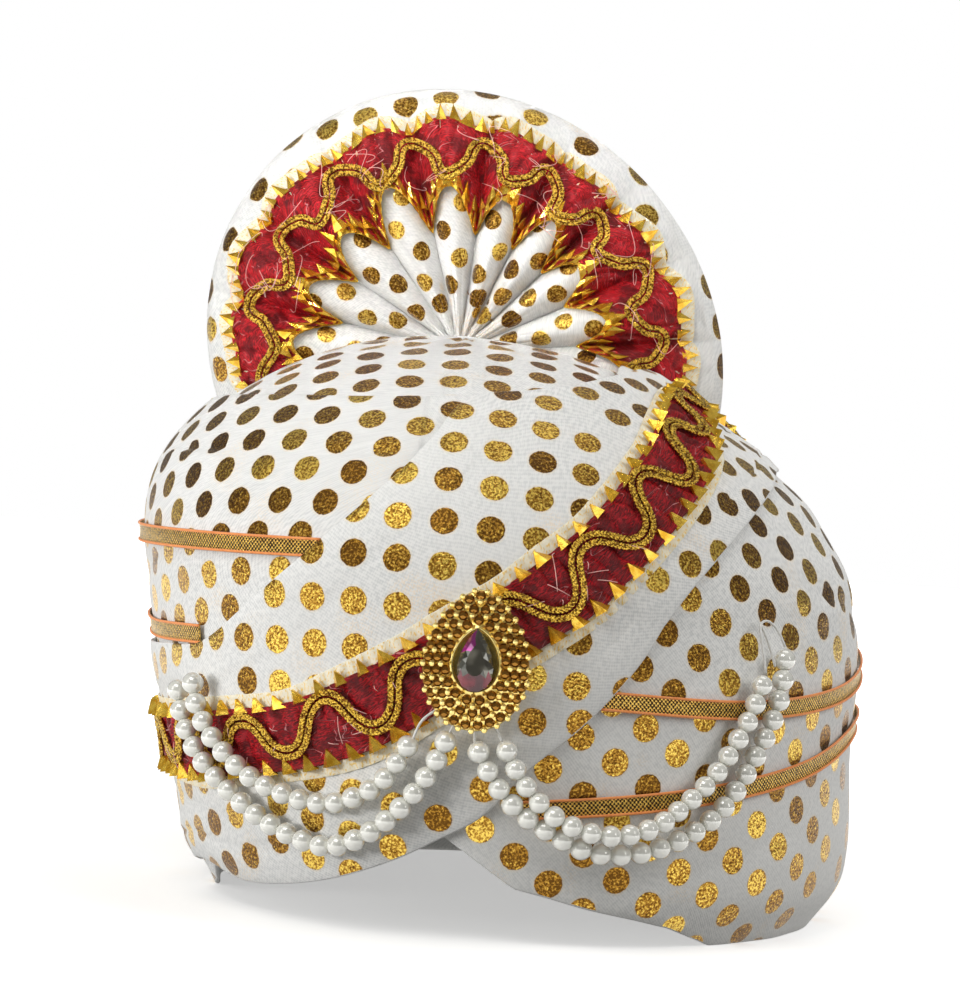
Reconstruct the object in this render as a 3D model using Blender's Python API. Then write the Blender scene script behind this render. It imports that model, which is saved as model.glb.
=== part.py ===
"""Ready-tied pagri: a wedding turban of dotted white cotton with a fan, red lace, a brooch and pearl swags.

The front faces -Y, the wearer's head goes up into the open underside, and the rim stands on z = 0.
Places on the turban are given as a turn in degrees round from the front (positive towards +X)
and a climb from 0 at the rim to 1 at the top of the crown.
"""
import bpy
import math
from mathutils import Vector

MM = 0.001

# Driving sizes of the wound cloth
BODY_WIDTH = 219 * MM
BODY_DEPTH = 226 * MM
CROWN_HEIGHT = 174.5 * MM
SHOULDER_CLIMB = 0.40          # where the wall ends and the dome of the crown begins
APEX_SHIFT = -0.15             # sideways lean of the crown's top, as a share of half the width

# Thickness of each cloth and how far its inner face stands off the wound wall
WRAP_THICK = 1.8 * MM
CROWN_THICK = 1.8 * MM
CROWN_TUCK = 1.6 * MM          # gap between the crown and the wrap round it
SASH_GAP = 1.3 * MM
SASH_THICK = 1.5 * MM
LACE_GAP = 1.2 * MM
LACE_THICK = 0.7 * MM
BRAID_GAP = 0.6 * MM
BRAID_WIDTH = 4.4 * MM
BRAID_RISE = 1.1 * MM
RIBBON_GAP = 1.0 * MM
RIBBON_THICK = 0.5 * MM
RIBBON_WIDTH = 5.6 * MM

# Pleated fan
FAN_CENTRE = Vector((-24.5 * MM, 55 * MM, 165.5 * MM))
FAN_HALF_WIDTH = 83.8 * MM
FAN_RISE = 83 * MM
FAN_FIRST_ANGLE = -11
FAN_LAST_ANGLE = 191
FAN_THICK = 1.8 * MM
FAN_PLEAT_DEPTH = 8 * MM
FAN_FOOT_GAP = 1.0 * MM
FAN_FOOT_START = 4 * MM
FAN_FOOT_LAST = 0.90            # as shares of the fan's radius
FAN_FOOT_STEP = 0.005
FAN_ROW_STEP = 0.012
FOLD_CLEARANCE = 5 * MM        # how far over the wrap's edge the fan may sink to the crown
FAN_LACE_OUTER = 0.88          # as shares of the fan's radius
FAN_LACE_INNER_RIDGE = 0.605
FAN_LACE_INNER_VALLEY = 0.48
FAN_LACE_LEAST = 0.03
FAN_LACE_ROW = 2               # the fan's row along which the lace bends with it
FAN_LACE_GAP = 0.9 * MM
FAN_BRAID_GAP = 1.9 * MM
FAN_BRAID_REACH = 0.765
FAN_BRAID_SWING = 0.050
FAN_BRAID_END = 0.06           # how near the fan's foot the braid goes

# Brooch
BROOCH_TURN = 3.2
BROOCH_CLIMB = 0.347
BROOCH_STAND_OFF = 6.8 * MM
BROOCH_WIDTH = 33 * MM
BROOCH_HEIGHT = 40 * MM
BROOCH_SWELL = 0.30            # 0 gives an oval, more narrows the point
STUD_RISE = 1.5 * MM
STUD_ROUND = 24
STUD_SHARE = 0.82              # of its cell
STONE_WIDTH = 13 * MM
STONE_HEIGHT = 18 * MM
STONE_DEPTH = 4.6 * MM
STONE_SWELL = 0.8
STONE_GAP = 0.3 * MM
STONE_SIDES = 12

# Pearls
PEARL_RADIUS = 3.0 * MM
PEARL_PITCH = 6.0 * MM
PEARL_SIDES = 10
PEARL_RING_ANGLES = (66, 114)
PEARL_NECK_ANGLE = 18

# Mesh steps
WRAP_COLUMNS = 36
WRAP_FIRST_TURN = -3.5
WRAP_ROWS = 9
CROWN_COLUMNS = 30
CROWN_ROWS = 4
CROWN_FOOT_CLIMB = 0.58
SASH_STATIONS = 40
SASH_STRIPS = 6
LACE_STATIONS = 42
LACE_STRIPS = 2
BRAID_WAVES = 24
BRAID_SWING = 0.23
RIBBON_STEP = 6.5
TURN_STEP = 0.5                # degrees and climb over which directions are measured
CLIMB_STEP = 0.002
THREAD_SAMPLES = 400

# Wall sections from the rim to the shoulder, evenly spaced in climb:
# height and half depth are shares of the crown height and half the depth,
# half width and shift to +X are shares of half the width
WALL_ROWS = (
    (0.000, 0.850, 0.085, 0.880),
    (0.068, 0.925, 0.080, 0.940),
    (0.136, 0.955, 0.065, 0.965),
    (0.204, 0.970, 0.045, 0.985),
    (0.272, 0.976, 0.030, 0.995),
    (0.340, 0.986, 0.020, 1.000),
    (0.409, 0.998, 0.014, 1.000),
    (0.477, 0.998, 0.002, 0.995),
    (0.545, 0.988, -0.020, 0.985),
)

# Bulges and dents of the wound cloth: turn, climb, reach in degrees, reach in climb, height in mm
LUMP_ROWS = (
    (95, 0.44, 40, 0.085, 3.5),
    (95, 0.58, 35, 0.060, -5.0),
    (90, 0.20, 35, 0.100, 0.8),
    (-90, 0.17, 38, 0.180, -5.5),
)

# Lower edge of the wrap: turn, climb. The notch over the forehead is a little left of the front.
RIM_ROWS = (
    (-180, 0.000),
    (-105, 0.000),
    (-74, 0.000),
    (-66, 0.030),
    (-58, 0.054),
    (-48, 0.048),
    (-36, 0.056),
    (-24, 0.072),
    (-13, 0.100),
    (-3.5, 0.132),
    (1, 0.106),
    (7, 0.073),
    (19, 0.052),
    (34, 0.030),
    (40, 0.014),
    (46, 0.000),
    (180, 0.000),
)

# Upper edge of the wrap, the fold under the crown: turn, climb
FOLD_ROWS = (
    (-180, 0.640),
    (-120, 0.650),
    (-90, 0.668),
    (-61, 0.692),
    (-35, 0.712),
    (-10, 0.726),
    (13, 0.742),
    (40, 0.774),
    (62, 0.802),
    (80, 0.822),
    (97, 0.826),
    (109, 0.812),
    (118, 0.762),
    (126, 0.680),
    (134, 0.648),
    (180, 0.640),
)

# Slanting sash, once round: turn and climb of its lower edge, turn and climb of its upper edge
SASH_ROWS = (
    (-105, 0.030, -105, 0.300),
    (-88, 0.022, -90, 0.302),
    (-72, 0.040, -75, 0.306),
    (-58, 0.050, -60, 0.315),
    (-46, 0.040, -47, 0.328),
    (-34, 0.048, -36, 0.378),
    (-23, 0.066, -27, 0.434),
    (-13, 0.094, -20, 0.485),
    (-4.5, 0.127, -12.5, 0.545),
    (3.5, 0.163, -6, 0.602),
    (10.5, 0.220, -1, 0.655),
    (18.5, 0.275, 3, 0.702),
    (28, 0.355, 9, 0.730),
    (39, 0.452, 22, 0.744),
    (52, 0.525, 38, 0.764),
    (66, 0.575, 56, 0.786),
    (84, 0.606, 78, 0.800),
    (101, 0.604, 99, 0.792),
    (116, 0.580, 115, 0.762),
    (132, 0.475, 130, 0.620),
    (155, 0.370, 153, 0.530),
    (180, 0.280, 178, 0.465),
    (205, 0.190, 203, 0.405),
    (230, 0.105, 229, 0.345),
)

# Lace on the sash, once round, with the same columns
LACE_ROWS = (
    (-105, 0.140, -105, 0.232),
    (-82, 0.142, -84, 0.235),
    (-62, 0.149, -65, 0.241),
    (-48, 0.154, -50, 0.254),
    (-36, 0.171, -38, 0.268),
    (-25, 0.188, -28, 0.283),
    (-16, 0.209, -20, 0.312),
    (-8, 0.240, -14, 0.338),
    (0, 0.285, -7, 0.370),
    (7, 0.326, 0, 0.408),
    (14, 0.361, 7.5, 0.448),
    (22, 0.402, 14, 0.490),
    (29, 0.453, 21, 0.532),
    (37, 0.508, 28.5, 0.585),
    (46, 0.563, 37, 0.638),
    (57, 0.618, 49, 0.700),
    (71, 0.672, 65, 0.745),
    (86, 0.684, 83, 0.756),
    (102, 0.684, 100, 0.757),
    (116, 0.664, 115, 0.737),
    (132, 0.525, 131, 0.597),
    (155, 0.410, 154, 0.490),
    (180, 0.333, 179, 0.415),
    (205, 0.258, 204, 0.342),
    (230, 0.187, 229, 0.274),
)

# Ribbons, each from where it leaves the sash to where it goes under it again: turn, climb
RIBBONS = {
    "ribbon_right_upper": (
        (24, 0.306), (48, 0.298), (72, 0.308), (96, 0.334), (120, 0.352), (144, 0.360),
    ),
    "ribbon_right_lower": (
        (9.5, 0.170), (36, 0.190), (62, 0.219), (88, 0.260), (114, 0.268), (140, 0.270), (166, 0.270),
    ),
    "ribbon_left_upper": (
        (-24, 0.472), (-50, 0.461), (-76, 0.452), (-102, 0.447), (-128, 0.440), (-154, 0.435),
    ),
    "ribbon_left_lower": (
        (-52, 0.336), (-66, 0.330), (-80, 0.330), (-94, 0.332), (-108, 0.336),
    ),
}

# Pearl swags: turn, climb, and how far the thread stands off the wound wall in mm
PEARL_STRINGS = {
    "pearl_string_left_upper": (
        (-44.5, 0.296, 8.4), (-43, 0.256, 9.4), (-39, 0.218, 9.6), (-33.5, 0.185, 8.6), (-27, 0.167, 7.2),
        (-21, 0.162, 6.6), (-15.5, 0.174, 6.6), (-10.5, 0.200, 7.0), (-5.8, 0.252, 8.0),
    ),
    "pearl_string_left_lower": (
        (-49, 0.284, 8.4), (-47.3, 0.238, 9.4), (-43.5, 0.195, 9.4), (-38.5, 0.160, 7.6), (-31, 0.128, 6.6),
        (-23, 0.112, 6.6), (-17, 0.122, 6.6), (-11, 0.150, 6.6), (-6.3, 0.185, 6.8), (-2.8, 0.225, 7.2),
        (-0.6, 0.262, 8.0),
    ),
    "pearl_string_right_upper": (
        (6.8, 0.255, 7.0), (9.8, 0.208, 7.0), (14.2, 0.169, 8.2), (21, 0.151, 9.0), (28.2, 0.159, 8.2),
        (34.5, 0.185, 5.8), (40.2, 0.223, 5.0), (44.2, 0.269, 5.0), (48.8, 0.339, 5.0),
    ),
    "pearl_string_right_lower": (
        (2.8, 0.252, 7.0), (5.3, 0.211, 6.8), (8.8, 0.174, 6.0), (14, 0.146, 5.0), (19.5, 0.127, 4.8),
        (25.8, 0.126, 4.8), (33.2, 0.142, 5.0), (40.5, 0.174, 5.0), (45.8, 0.221, 5.0), (50.8, 0.293, 5.0),
        (53.8, 0.369, 5.0),
    ),
}

# Fan section from foot to rim: share of the reach, share of the pleat depth, set back in mm, lean in degrees
FAN_ROWS = (
    (0.00, 0.25, 0.0, 0),
    (0.35, 0.80, 0.0, 0),
    (0.68, 0.95, 0.0, 0),
    (0.88, 0.45, 1.2, 20),
    (0.97, 0.20, 5.0, 55),
    (1.00, 0.10, 10.0, 85),
)

# Ridges of the fan's pleats, in degrees from +X
PLEAT_RIDGES = (-3, 16, 38, 57, 76, 96, 117, 139, 160, 181)

# Brooch rings from the edge inwards: share of the outline, height over the plate's back in mm
BROOCH_RING_ROWS = (
    (1.00, 0.0),
    (1.00, 1.6),
    (0.79, 2.4),
    (0.60, 3.0),
    (0.53, 4.2),
    (0.47, 4.2),
    (0.46, 2.6),
)
STUD_BANDS = (1, 2)            # the bands inside the second and the third ring carry the studs

# Stone rings from the table down: share of the outline, height in shares of the stone's depth
STONE_RING_ROWS = (
    (0.56, 1.00),
    (0.84, 0.78),
    (1.00, 0.50),
    (1.00, 0.42),
    (0.55, 0.00),
)

# Colour, roughness and metallic value of each material
FINISHES = {
    "white_cloth": ((0.80, 0.79, 0.75), 0.85, 0.0),
    "red_lace": ((0.33, 0.012, 0.03), 0.75, 0.0),
    "gold_braid": ((0.72, 0.42, 0.07), 0.38, 0.9),
    "gold_mesh": ((0.62, 0.33, 0.08), 0.45, 0.7),
    "gold_metal": ((0.66, 0.41, 0.10), 0.25, 1.0),
    "dark_stone": ((0.05, 0.045, 0.035), 0.08, 0.0),
    "pearl": ((0.82, 0.80, 0.72), 0.25, 0.0),
}


def clear_scene():
    """Remove whatever the file holds, so the script starts from nothing."""
    for thing in list(bpy.data.objects):
        bpy.data.objects.remove(thing, do_unlink=True)


def blend_rows(rows, share, closed_by=None):
    """Smooth curve through a table's rows at share 0..1. closed_by is what a full loop adds to a column."""
    count = len(rows) if closed_by else len(rows) - 1
    place = min(max(share, 0.0), 1.0) * count
    first = min(int(place), count - 1)
    along = place - first

    def row(index):
        if closed_by:
            laps, inside = divmod(index, len(rows))
            return [value + laps * lap for value, lap in zip(rows[inside], closed_by)]
        if index < 0:
            return [2 * a - b for a, b in zip(rows[0], rows[1])]
        if index > count:
            return [2 * a - b for a, b in zip(rows[count], rows[count - 1])]
        return rows[index]

    result = []
    for a, b, c, d in zip(row(first - 1), row(first), row(first + 1), row(first + 2)):
        bend = (2 * a - 5 * b + 4 * c - d) * along ** 2 + (3 * b - a - 3 * c + d) * along ** 3
        result.append(0.5 * (2 * b + (c - a) * along + bend))
    return result


def straight_rows(rows, key):
    """Values of a table's other columns where its first column equals key, in straight lines between rows."""
    key = min(max(key, rows[0][0]), rows[-1][0])
    for low, high in zip(rows, rows[1:]):
        if key <= high[0]:
            part = (key - low[0]) / (high[0] - low[0])
            return [a + (b - a) * part for a, b in zip(low[1:], high[1:])]
    return list(rows[-1][1:])


def around(turn):
    """The same turn between -180 and 180 degrees."""
    return (turn + 180) % 360 - 180


def rim_climb(turn):
    return straight_rows(RIM_ROWS, around(turn))[0]


def fold_climb(turn):
    return straight_rows(FOLD_ROWS, around(turn))[0]


def lump(turn, climb):
    """How far the wound cloth bulges out at a place."""
    total = 0.0
    for lump_turn, lump_climb, turn_reach, climb_reach, height in LUMP_ROWS:
        across = around(turn - lump_turn) / turn_reach
        up = (climb - lump_climb) / climb_reach
        total += height * MM * math.exp(-across ** 2 - up ** 2)
    return total


def body_point(turn, climb):
    """Point on the outer face of the wound cloth."""
    if climb < SHOULDER_CLIMB:
        height, half_width, shift, half_depth = blend_rows(WALL_ROWS, climb / SHOULDER_CLIMB)
    else:
        shoulder_height, shoulder_width, shoulder_shift, shoulder_depth = WALL_ROWS[-1]
        rise = min((climb - SHOULDER_CLIMB) / (1 - SHOULDER_CLIMB), 1.0) * math.pi / 2
        height = shoulder_height + (1 - shoulder_height) * math.sin(rise)
        half_width = shoulder_width * math.cos(rise)
        half_depth = shoulder_depth * math.cos(rise)
        shift = shoulder_shift + (APEX_SHIFT - shoulder_shift) * math.sin(rise)
    angle = math.radians(turn)
    out = lump(turn, climb)
    return Vector((
        shift * BODY_WIDTH / 2 + (half_width * BODY_WIDTH / 2 + out) * math.sin(angle),
        -(half_depth * BODY_DEPTH / 2 + out) * math.cos(angle),
        height * CROWN_HEIGHT,
    ))


def body_normal(turn, climb):
    """Direction straight out of the cloth."""
    along = body_point(turn + TURN_STEP, climb) - body_point(turn - TURN_STEP, climb)
    up = body_point(turn, climb + CLIMB_STEP) - body_point(turn, max(climb - CLIMB_STEP, 0.0))
    return along.cross(up).normalized()


def body_gap(point):
    """How far a point over the crown's dome is from its face, outside positive."""
    shoulder_height, shoulder_width, shoulder_shift, shoulder_depth = WALL_ROWS[-1]

    def level(place):
        rise = (place.z / CROWN_HEIGHT - shoulder_height) / (1 - shoulder_height)
        shift = (shoulder_shift + (APEX_SHIFT - shoulder_shift) * rise) * BODY_WIDTH / 2
        across = (place.x - shift) / (shoulder_width * BODY_WIDTH / 2)
        deep = place.y / (shoulder_depth * BODY_DEPTH / 2)
        return math.sqrt(across ** 2 + deep ** 2 + rise ** 2) - 1

    step = 0.1 * MM
    slope = Vector([(level(point + axis * step) - level(point)) / step
                    for axis in (Vector((1, 0, 0)), Vector((0, 1, 0)), Vector((0, 0, 1)))])
    return level(point) / slope.length


def split_quads(faces):
    """Cut each four-cornered face along the line from its first corner, so that stacked cloths bend alike."""
    result = []
    for face in faces:
        if len(face) == 4:
            result += [(face[0], face[1], face[2]), (face[0], face[2], face[3])]
        else:
            result.append(face)
    return result


def add_object(name, vertices, faces, finish):
    """Make one named object with its own material from vertices and faces."""
    mesh = bpy.data.meshes.new(name)
    mesh.from_pydata([tuple(vertex) for vertex in vertices], [], split_quads(faces))
    mesh.validate()
    colour, roughness, metallic = FINISHES[finish]
    material = bpy.data.materials.new(name + "_" + finish)
    material.use_nodes = True
    shader = material.node_tree.nodes["Principled BSDF"]
    shader.inputs["Base Color"].default_value = (*colour, 1)
    shader.inputs["Roughness"].default_value = roughness
    shader.inputs["Metallic"].default_value = metallic
    mesh.materials.append(material)
    thing = bpy.data.objects.new(name, mesh)
    bpy.context.collection.objects.link(thing)
    return thing


def add_sheet(name, outer, inner, closed, finish):
    """Close the outer and inner face of one cloth into a solid; closed joins the last line to the first."""
    lines = len(outer)
    across = len(outer[0])
    vertices = [point for line in outer for point in line] + [point for line in inner for point in line]
    half = lines * across
    faces = []

    def at(line, column):
        return (line % lines) * across + column

    for line in range(lines if closed else lines - 1):
        for column in range(across - 1):
            near, after = at(line, column), at(line + 1, column)
            far, beside = at(line + 1, column + 1), at(line, column + 1)
            faces.append((near, after, far, beside))
            faces.append((half + near, half + beside, half + far, half + after))
        for column, turned in ((0, False), (across - 1, True)):
            here = at(line, column)
            after = at(line + 1, column)
            rim = (here, half + here, half + after, after)
            faces.append(tuple(reversed(rim)) if turned else rim)
    if not closed:
        for column in range(across - 1):
            start = (at(0, column), at(0, column + 1), half + at(0, column + 1), half + at(0, column))
            last = lines - 1
            here = at(last, column)
            after = at(last, column + 1)
            end = (here, half + here, half + after, after)
            faces.append(start)
            faces.append(end)
    return add_object(name, vertices, faces, finish)


def band_grid(rows, stations, strips, out):
    """Points of a band that goes once round, standing out from the wound wall."""
    grid = []
    for station in range(stations):
        low_turn, low_climb, high_turn, high_climb = blend_rows(rows, station / stations, (360, 0, 360, 0))
        line = []
        for strip in range(strips + 1):
            share = strip / strips
            turn = low_turn + (high_turn - low_turn) * share
            climb = low_climb + (high_climb - low_climb) * share
            line.append(body_point(turn, climb) + body_normal(turn, climb) * out)
        grid.append(line)
    return grid


def make_side_wrap():
    outer = []
    inner = []
    for column in range(WRAP_COLUMNS):
        turn = WRAP_FIRST_TURN + 360 * column / WRAP_COLUMNS
        low = rim_climb(turn)
        high = fold_climb(turn)
        outer_line = []
        inner_line = []
        for row in range(WRAP_ROWS + 1):
            climb = low + (high - low) * row / WRAP_ROWS
            point = body_point(turn, climb)
            inside = point - body_normal(turn, climb) * WRAP_THICK
            if row == 0:
                inside.z = point.z
            outer_line.append(point)
            inner_line.append(inside)
        outer.append(outer_line)
        inner.append(inner_line)
    return add_sheet("side_wrap", outer, inner, True, "white_cloth")


def make_crown():
    """The cloth over the top of the head, a cap tucked inside the wrap's upper edge."""
    outer_out = -(WRAP_THICK + CROWN_TUCK)
    layers = []
    for out in (outer_out, outer_out - CROWN_THICK):
        rings = []
        for row in range(CROWN_ROWS):
            climb = CROWN_FOOT_CLIMB + (1 - CROWN_FOOT_CLIMB) * row / CROWN_ROWS
            ring = []
            for column in range(CROWN_COLUMNS):
                turn = 360 * column / CROWN_COLUMNS
                ring.append(body_point(turn, climb) + body_normal(turn, climb) * out)
            rings.append(ring)
        layers.append((rings, body_point(0, 1) + Vector((0, 0, out))))
    vertices = []
    faces = []
    layer_size = CROWN_ROWS * CROWN_COLUMNS + 1
    for rings, apex in layers:
        vertices += [point for ring in rings for point in ring] + [apex]
    for layer in range(2):
        start = layer * layer_size
        for column in range(CROWN_COLUMNS):
            after = (column + 1) % CROWN_COLUMNS
            layer_faces = []
            for row in range(CROWN_ROWS - 1):
                low = start + row * CROWN_COLUMNS
                high = low + CROWN_COLUMNS
                layer_faces.append((low + column, low + after, high + after, high + column))
            top = start + (CROWN_ROWS - 1) * CROWN_COLUMNS
            layer_faces.append((top + column, top + after, start + layer_size - 1))
            faces += layer_faces if layer == 0 else [tuple(reversed(face)) for face in layer_faces]
    for column in range(CROWN_COLUMNS):
        after = (column + 1) % CROWN_COLUMNS
        faces.append((after, column, layer_size + column, layer_size + after))
    return add_object("crown", vertices, faces, "white_cloth")


def make_sash():
    outer = band_grid(SASH_ROWS, SASH_STATIONS, SASH_STRIPS, SASH_GAP + SASH_THICK)
    inner = band_grid(SASH_ROWS, SASH_STATIONS, SASH_STRIPS, SASH_GAP)
    return add_sheet("sash", outer, inner, True, "white_cloth")


def lace_outer_face():
    return SASH_GAP + SASH_THICK + LACE_GAP + LACE_THICK


def make_lace_band():
    outer = band_grid(LACE_ROWS, LACE_STATIONS, LACE_STRIPS, lace_outer_face())
    inner = band_grid(LACE_ROWS, LACE_STATIONS, LACE_STRIPS, lace_outer_face() - LACE_THICK)
    return add_sheet("lace_band", outer, inner, True, "red_lace")


def add_ridge(name, lines, closed, finish):
    """A strip of three-point lines (edge, raised middle, edge) closed into one solid."""
    count = len(lines)
    vertices = [point for line in lines for point in line]
    faces = []
    for line in range(count if closed else count - 1):
        here = 3 * line
        there = 3 * ((line + 1) % count)
        for side in range(3):
            near = side
            far = (side + 1) % 3
            faces.append((here + near, there + near, there + far, here + far))
    if not closed:
        last = 3 * (count - 1)
        faces.append((0, 1, 2))
        faces.append((last + 2, last + 1, last))
    return add_object(name, vertices, faces, finish)


def make_lace_braid():
    """Gold braid in a wave along the middle of the lace, once round."""
    base = lace_outer_face() + BRAID_GAP
    stations = BRAID_WAVES * 4
    places = []
    for station in range(stations):
        edges = blend_rows(LACE_ROWS, station / stations, (360, 0, 360, 0))
        low_turn, low_climb, high_turn, high_climb = edges
        share = 0.5 + BRAID_SWING * math.sin(station * math.pi / 2)
        turn = low_turn + (high_turn - low_turn) * share
        climb = low_climb + (high_climb - low_climb) * share
        places.append((turn, climb))
    middles = [body_point(*place) + body_normal(*place) * base for place in places]
    lines = []
    for station, place in enumerate(places):
        out = body_normal(*place)
        along = (middles[(station + 1) % stations] - middles[station - 1]).normalized()
        side = out.cross(along) * BRAID_WIDTH / 2
        lines.append((middles[station] - side, middles[station] + out * BRAID_RISE, middles[station] + side))
    return add_ridge("lace_braid", lines, True, "gold_braid")


def make_ribbon(name, rows):
    length = abs(rows[-1][0] - rows[0][0])
    steps = max(2, round(length / RIBBON_STEP))
    outer = []
    inner = []
    for step in range(steps + 1):
        turn, climb = blend_rows(rows, step / steps)
        half = RIBBON_WIDTH / 2
        middle = body_point(turn, climb)
        out = body_normal(turn, climb)
        up = (body_point(turn, climb + 0.01) - middle).normalized()
        edges = [middle - up * half, middle + up * half]
        outer.append([edge + out * (RIBBON_GAP + RIBBON_THICK) for edge in edges])
        inner.append([edge + out * RIBBON_GAP for edge in edges])
    if rows[-1][0] < rows[0][0]:
        outer.reverse()
        inner.reverse()
    return add_sheet(name, outer, inner, False, "gold_mesh")


def pleat_stations():
    """Angle and pleat share, 0 in a valley and 1 on a ridge, of each column of the fan."""
    valleys = [FAN_FIRST_ANGLE]
    valleys += [(a + b) / 2 for a, b in zip(PLEAT_RIDGES, PLEAT_RIDGES[1:])]
    valleys.append(FAN_LAST_ANGLE)
    stations = []
    for ridge, left, right in zip(PLEAT_RIDGES, valleys, valleys[1:]):
        stations.append((left, 0.0))
        stations.append(((left + ridge) / 2, 0.8))
        stations.append((ridge, 1.0))
        stations.append(((ridge + right) / 2, 0.8))
    stations.append((FAN_LAST_ANGLE, 0.0))
    return stations


def fan_place(angle, pleat, reach, forward=0.0):
    """Point on the fan's front at a share of its radius, moved forward along -Y and along its lean."""
    depth_share, back, lean = straight_rows(FAN_ROWS, reach)
    turn = math.radians(angle)
    tilt = math.radians(lean)
    push = forward * math.sin(tilt)
    return Vector((
        FAN_CENTRE.x + (FAN_HALF_WIDTH * reach + push) * math.cos(turn),
        FAN_CENTRE.y + back * MM - FAN_PLEAT_DEPTH * depth_share * pleat - forward * math.cos(tilt),
        FAN_CENTRE.z + (FAN_RISE * reach + push) * math.sin(turn),
    ))


def clears_body(point):
    """Whether a point of the fan stands clear of the crown, or lower down of the wrap round it."""
    fold_height = body_point(180, fold_climb(180)).z
    sunk = WRAP_THICK + CROWN_TUCK if point.z > fold_height + FOLD_CLEARANCE else 0.0
    return body_gap(point) > FAN_FOOT_GAP - sunk


def fan_foot(angle, pleat):
    """Share of the radius where the fan's cloth begins, just clear of the turban's top."""
    reach = FAN_FOOT_START / FAN_HALF_WIDTH
    while reach < FAN_FOOT_LAST:
        front = fan_place(angle, pleat, reach)
        back = fan_place(angle, pleat, reach, -FAN_THICK)
        if clears_body(front) and clears_body(back):
            break
        reach += FAN_FOOT_STEP
    return reach


def make_fan():
    outer = []
    inner = []
    for angle, pleat in reversed(pleat_stations()):
        foot = fan_foot(angle, pleat)
        outer_line = []
        inner_line = []
        for row, (share, *_) in enumerate(FAN_ROWS):
            reach = max(share, foot + FAN_ROW_STEP * row)
            outer_line.append(fan_place(angle, pleat, reach))
            inner_line.append(fan_place(angle, pleat, reach, -FAN_THICK))
        outer.append(outer_line)
        inner.append(inner_line)
    return add_sheet("fan", outer, inner, False, "white_cloth")


def make_fan_lace():
    outer = []
    inner = []
    for angle, pleat in reversed(pleat_stations()):
        foot = fan_foot(angle, pleat)
        low = FAN_LACE_INNER_VALLEY + (FAN_LACE_INNER_RIDGE - FAN_LACE_INNER_VALLEY) * pleat
        low = max(low, foot + FAN_LACE_LEAST)
        high = max(FAN_LACE_OUTER, low + FAN_LACE_LEAST)
        reaches = (low, max(FAN_ROWS[FAN_LACE_ROW][0], low + FAN_LACE_LEAST / 2), high)
        outer.append([fan_place(angle, pleat, reach, FAN_LACE_GAP + LACE_THICK) for reach in reaches])
        inner.append([fan_place(angle, pleat, reach, FAN_LACE_GAP) for reach in reaches])
    return add_sheet("fan_lace", outer, inner, False, "red_lace")


def make_fan_braid():
    base = FAN_LACE_GAP + LACE_THICK + FAN_BRAID_GAP
    half = BRAID_WIDTH / 2 / FAN_HALF_WIDTH
    lines = []
    for angle, pleat in reversed(pleat_stations()):
        middle = FAN_BRAID_REACH + FAN_BRAID_SWING * (2 * pleat - 1)
        if fan_foot(angle, pleat) + FAN_BRAID_END > middle - half:
            continue
        lines.append((
            fan_place(angle, pleat, middle - half, base),
            fan_place(angle, pleat, middle, base + BRAID_RISE),
            fan_place(angle, pleat, middle + half, base),
        ))
    return add_ridge("fan_braid", lines, False, "gold_braid")


def pear(width, height, roundness, share):
    """Point of a drop-shaped outline, its point up; share runs 0..1 from the point round and back."""
    angle = share * 2 * math.pi
    swell = abs(math.sin(angle / 2)) ** roundness
    return width / 2 * math.sin(angle) * swell, height / 2 * math.cos(angle)


def brooch_frame():
    """Centre on the cloth, and the brooch's own right, up and out directions."""
    centre = body_point(BROOCH_TURN, BROOCH_CLIMB)
    out = body_normal(BROOCH_TURN, BROOCH_CLIMB)
    right = Vector((0, 0, 1)).cross(out).normalized()
    return centre, right, out.cross(right), out


def brooch_place(across, up, height):
    centre, right, upward, out = brooch_frame()
    return centre + right * across + upward * up + out * (BROOCH_STAND_OFF + height)


def make_brooch_setting():
    """Drop-shaped plate with two bands of pyramid studs and a raised bezel round the stone's seat."""
    vertices = []
    faces = []
    for share, height in BROOCH_RING_ROWS:
        for step in range(STUD_ROUND):
            across, up = pear(BROOCH_WIDTH * share, BROOCH_HEIGHT * share, BROOCH_SWELL, step / STUD_ROUND)
            vertices.append(brooch_place(across, up, height * MM))
    last_ring = len(BROOCH_RING_ROWS) - 1
    for ring in range(last_ring):
        for step in range(STUD_ROUND):
            after = (step + 1) % STUD_ROUND
            low = ring * STUD_ROUND
            high = low + STUD_ROUND
            corners = (low + after, low + step, high + step, high + after)
            if ring not in STUD_BANDS:
                faces.append(corners)
                continue
            middle = sum((vertices[index] for index in corners), Vector()) / 4
            base = len(vertices)
            for index in corners:
                vertices.append(middle + (vertices[index] - middle) * STUD_SHARE)
            vertices.append(middle + brooch_frame()[3] * STUD_RISE)
            for side in range(4):
                next_side = (side + 1) % 4
                faces.append((corners[side], corners[next_side], base + next_side, base + side))
                faces.append((base + side, base + next_side, base + 4))
    faces.append(tuple(range(STUD_ROUND)))
    faces.append(tuple(last_ring * STUD_ROUND + step for step in reversed(range(STUD_ROUND))))
    return add_object("brooch_setting", vertices, faces, "gold_metal")


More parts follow.
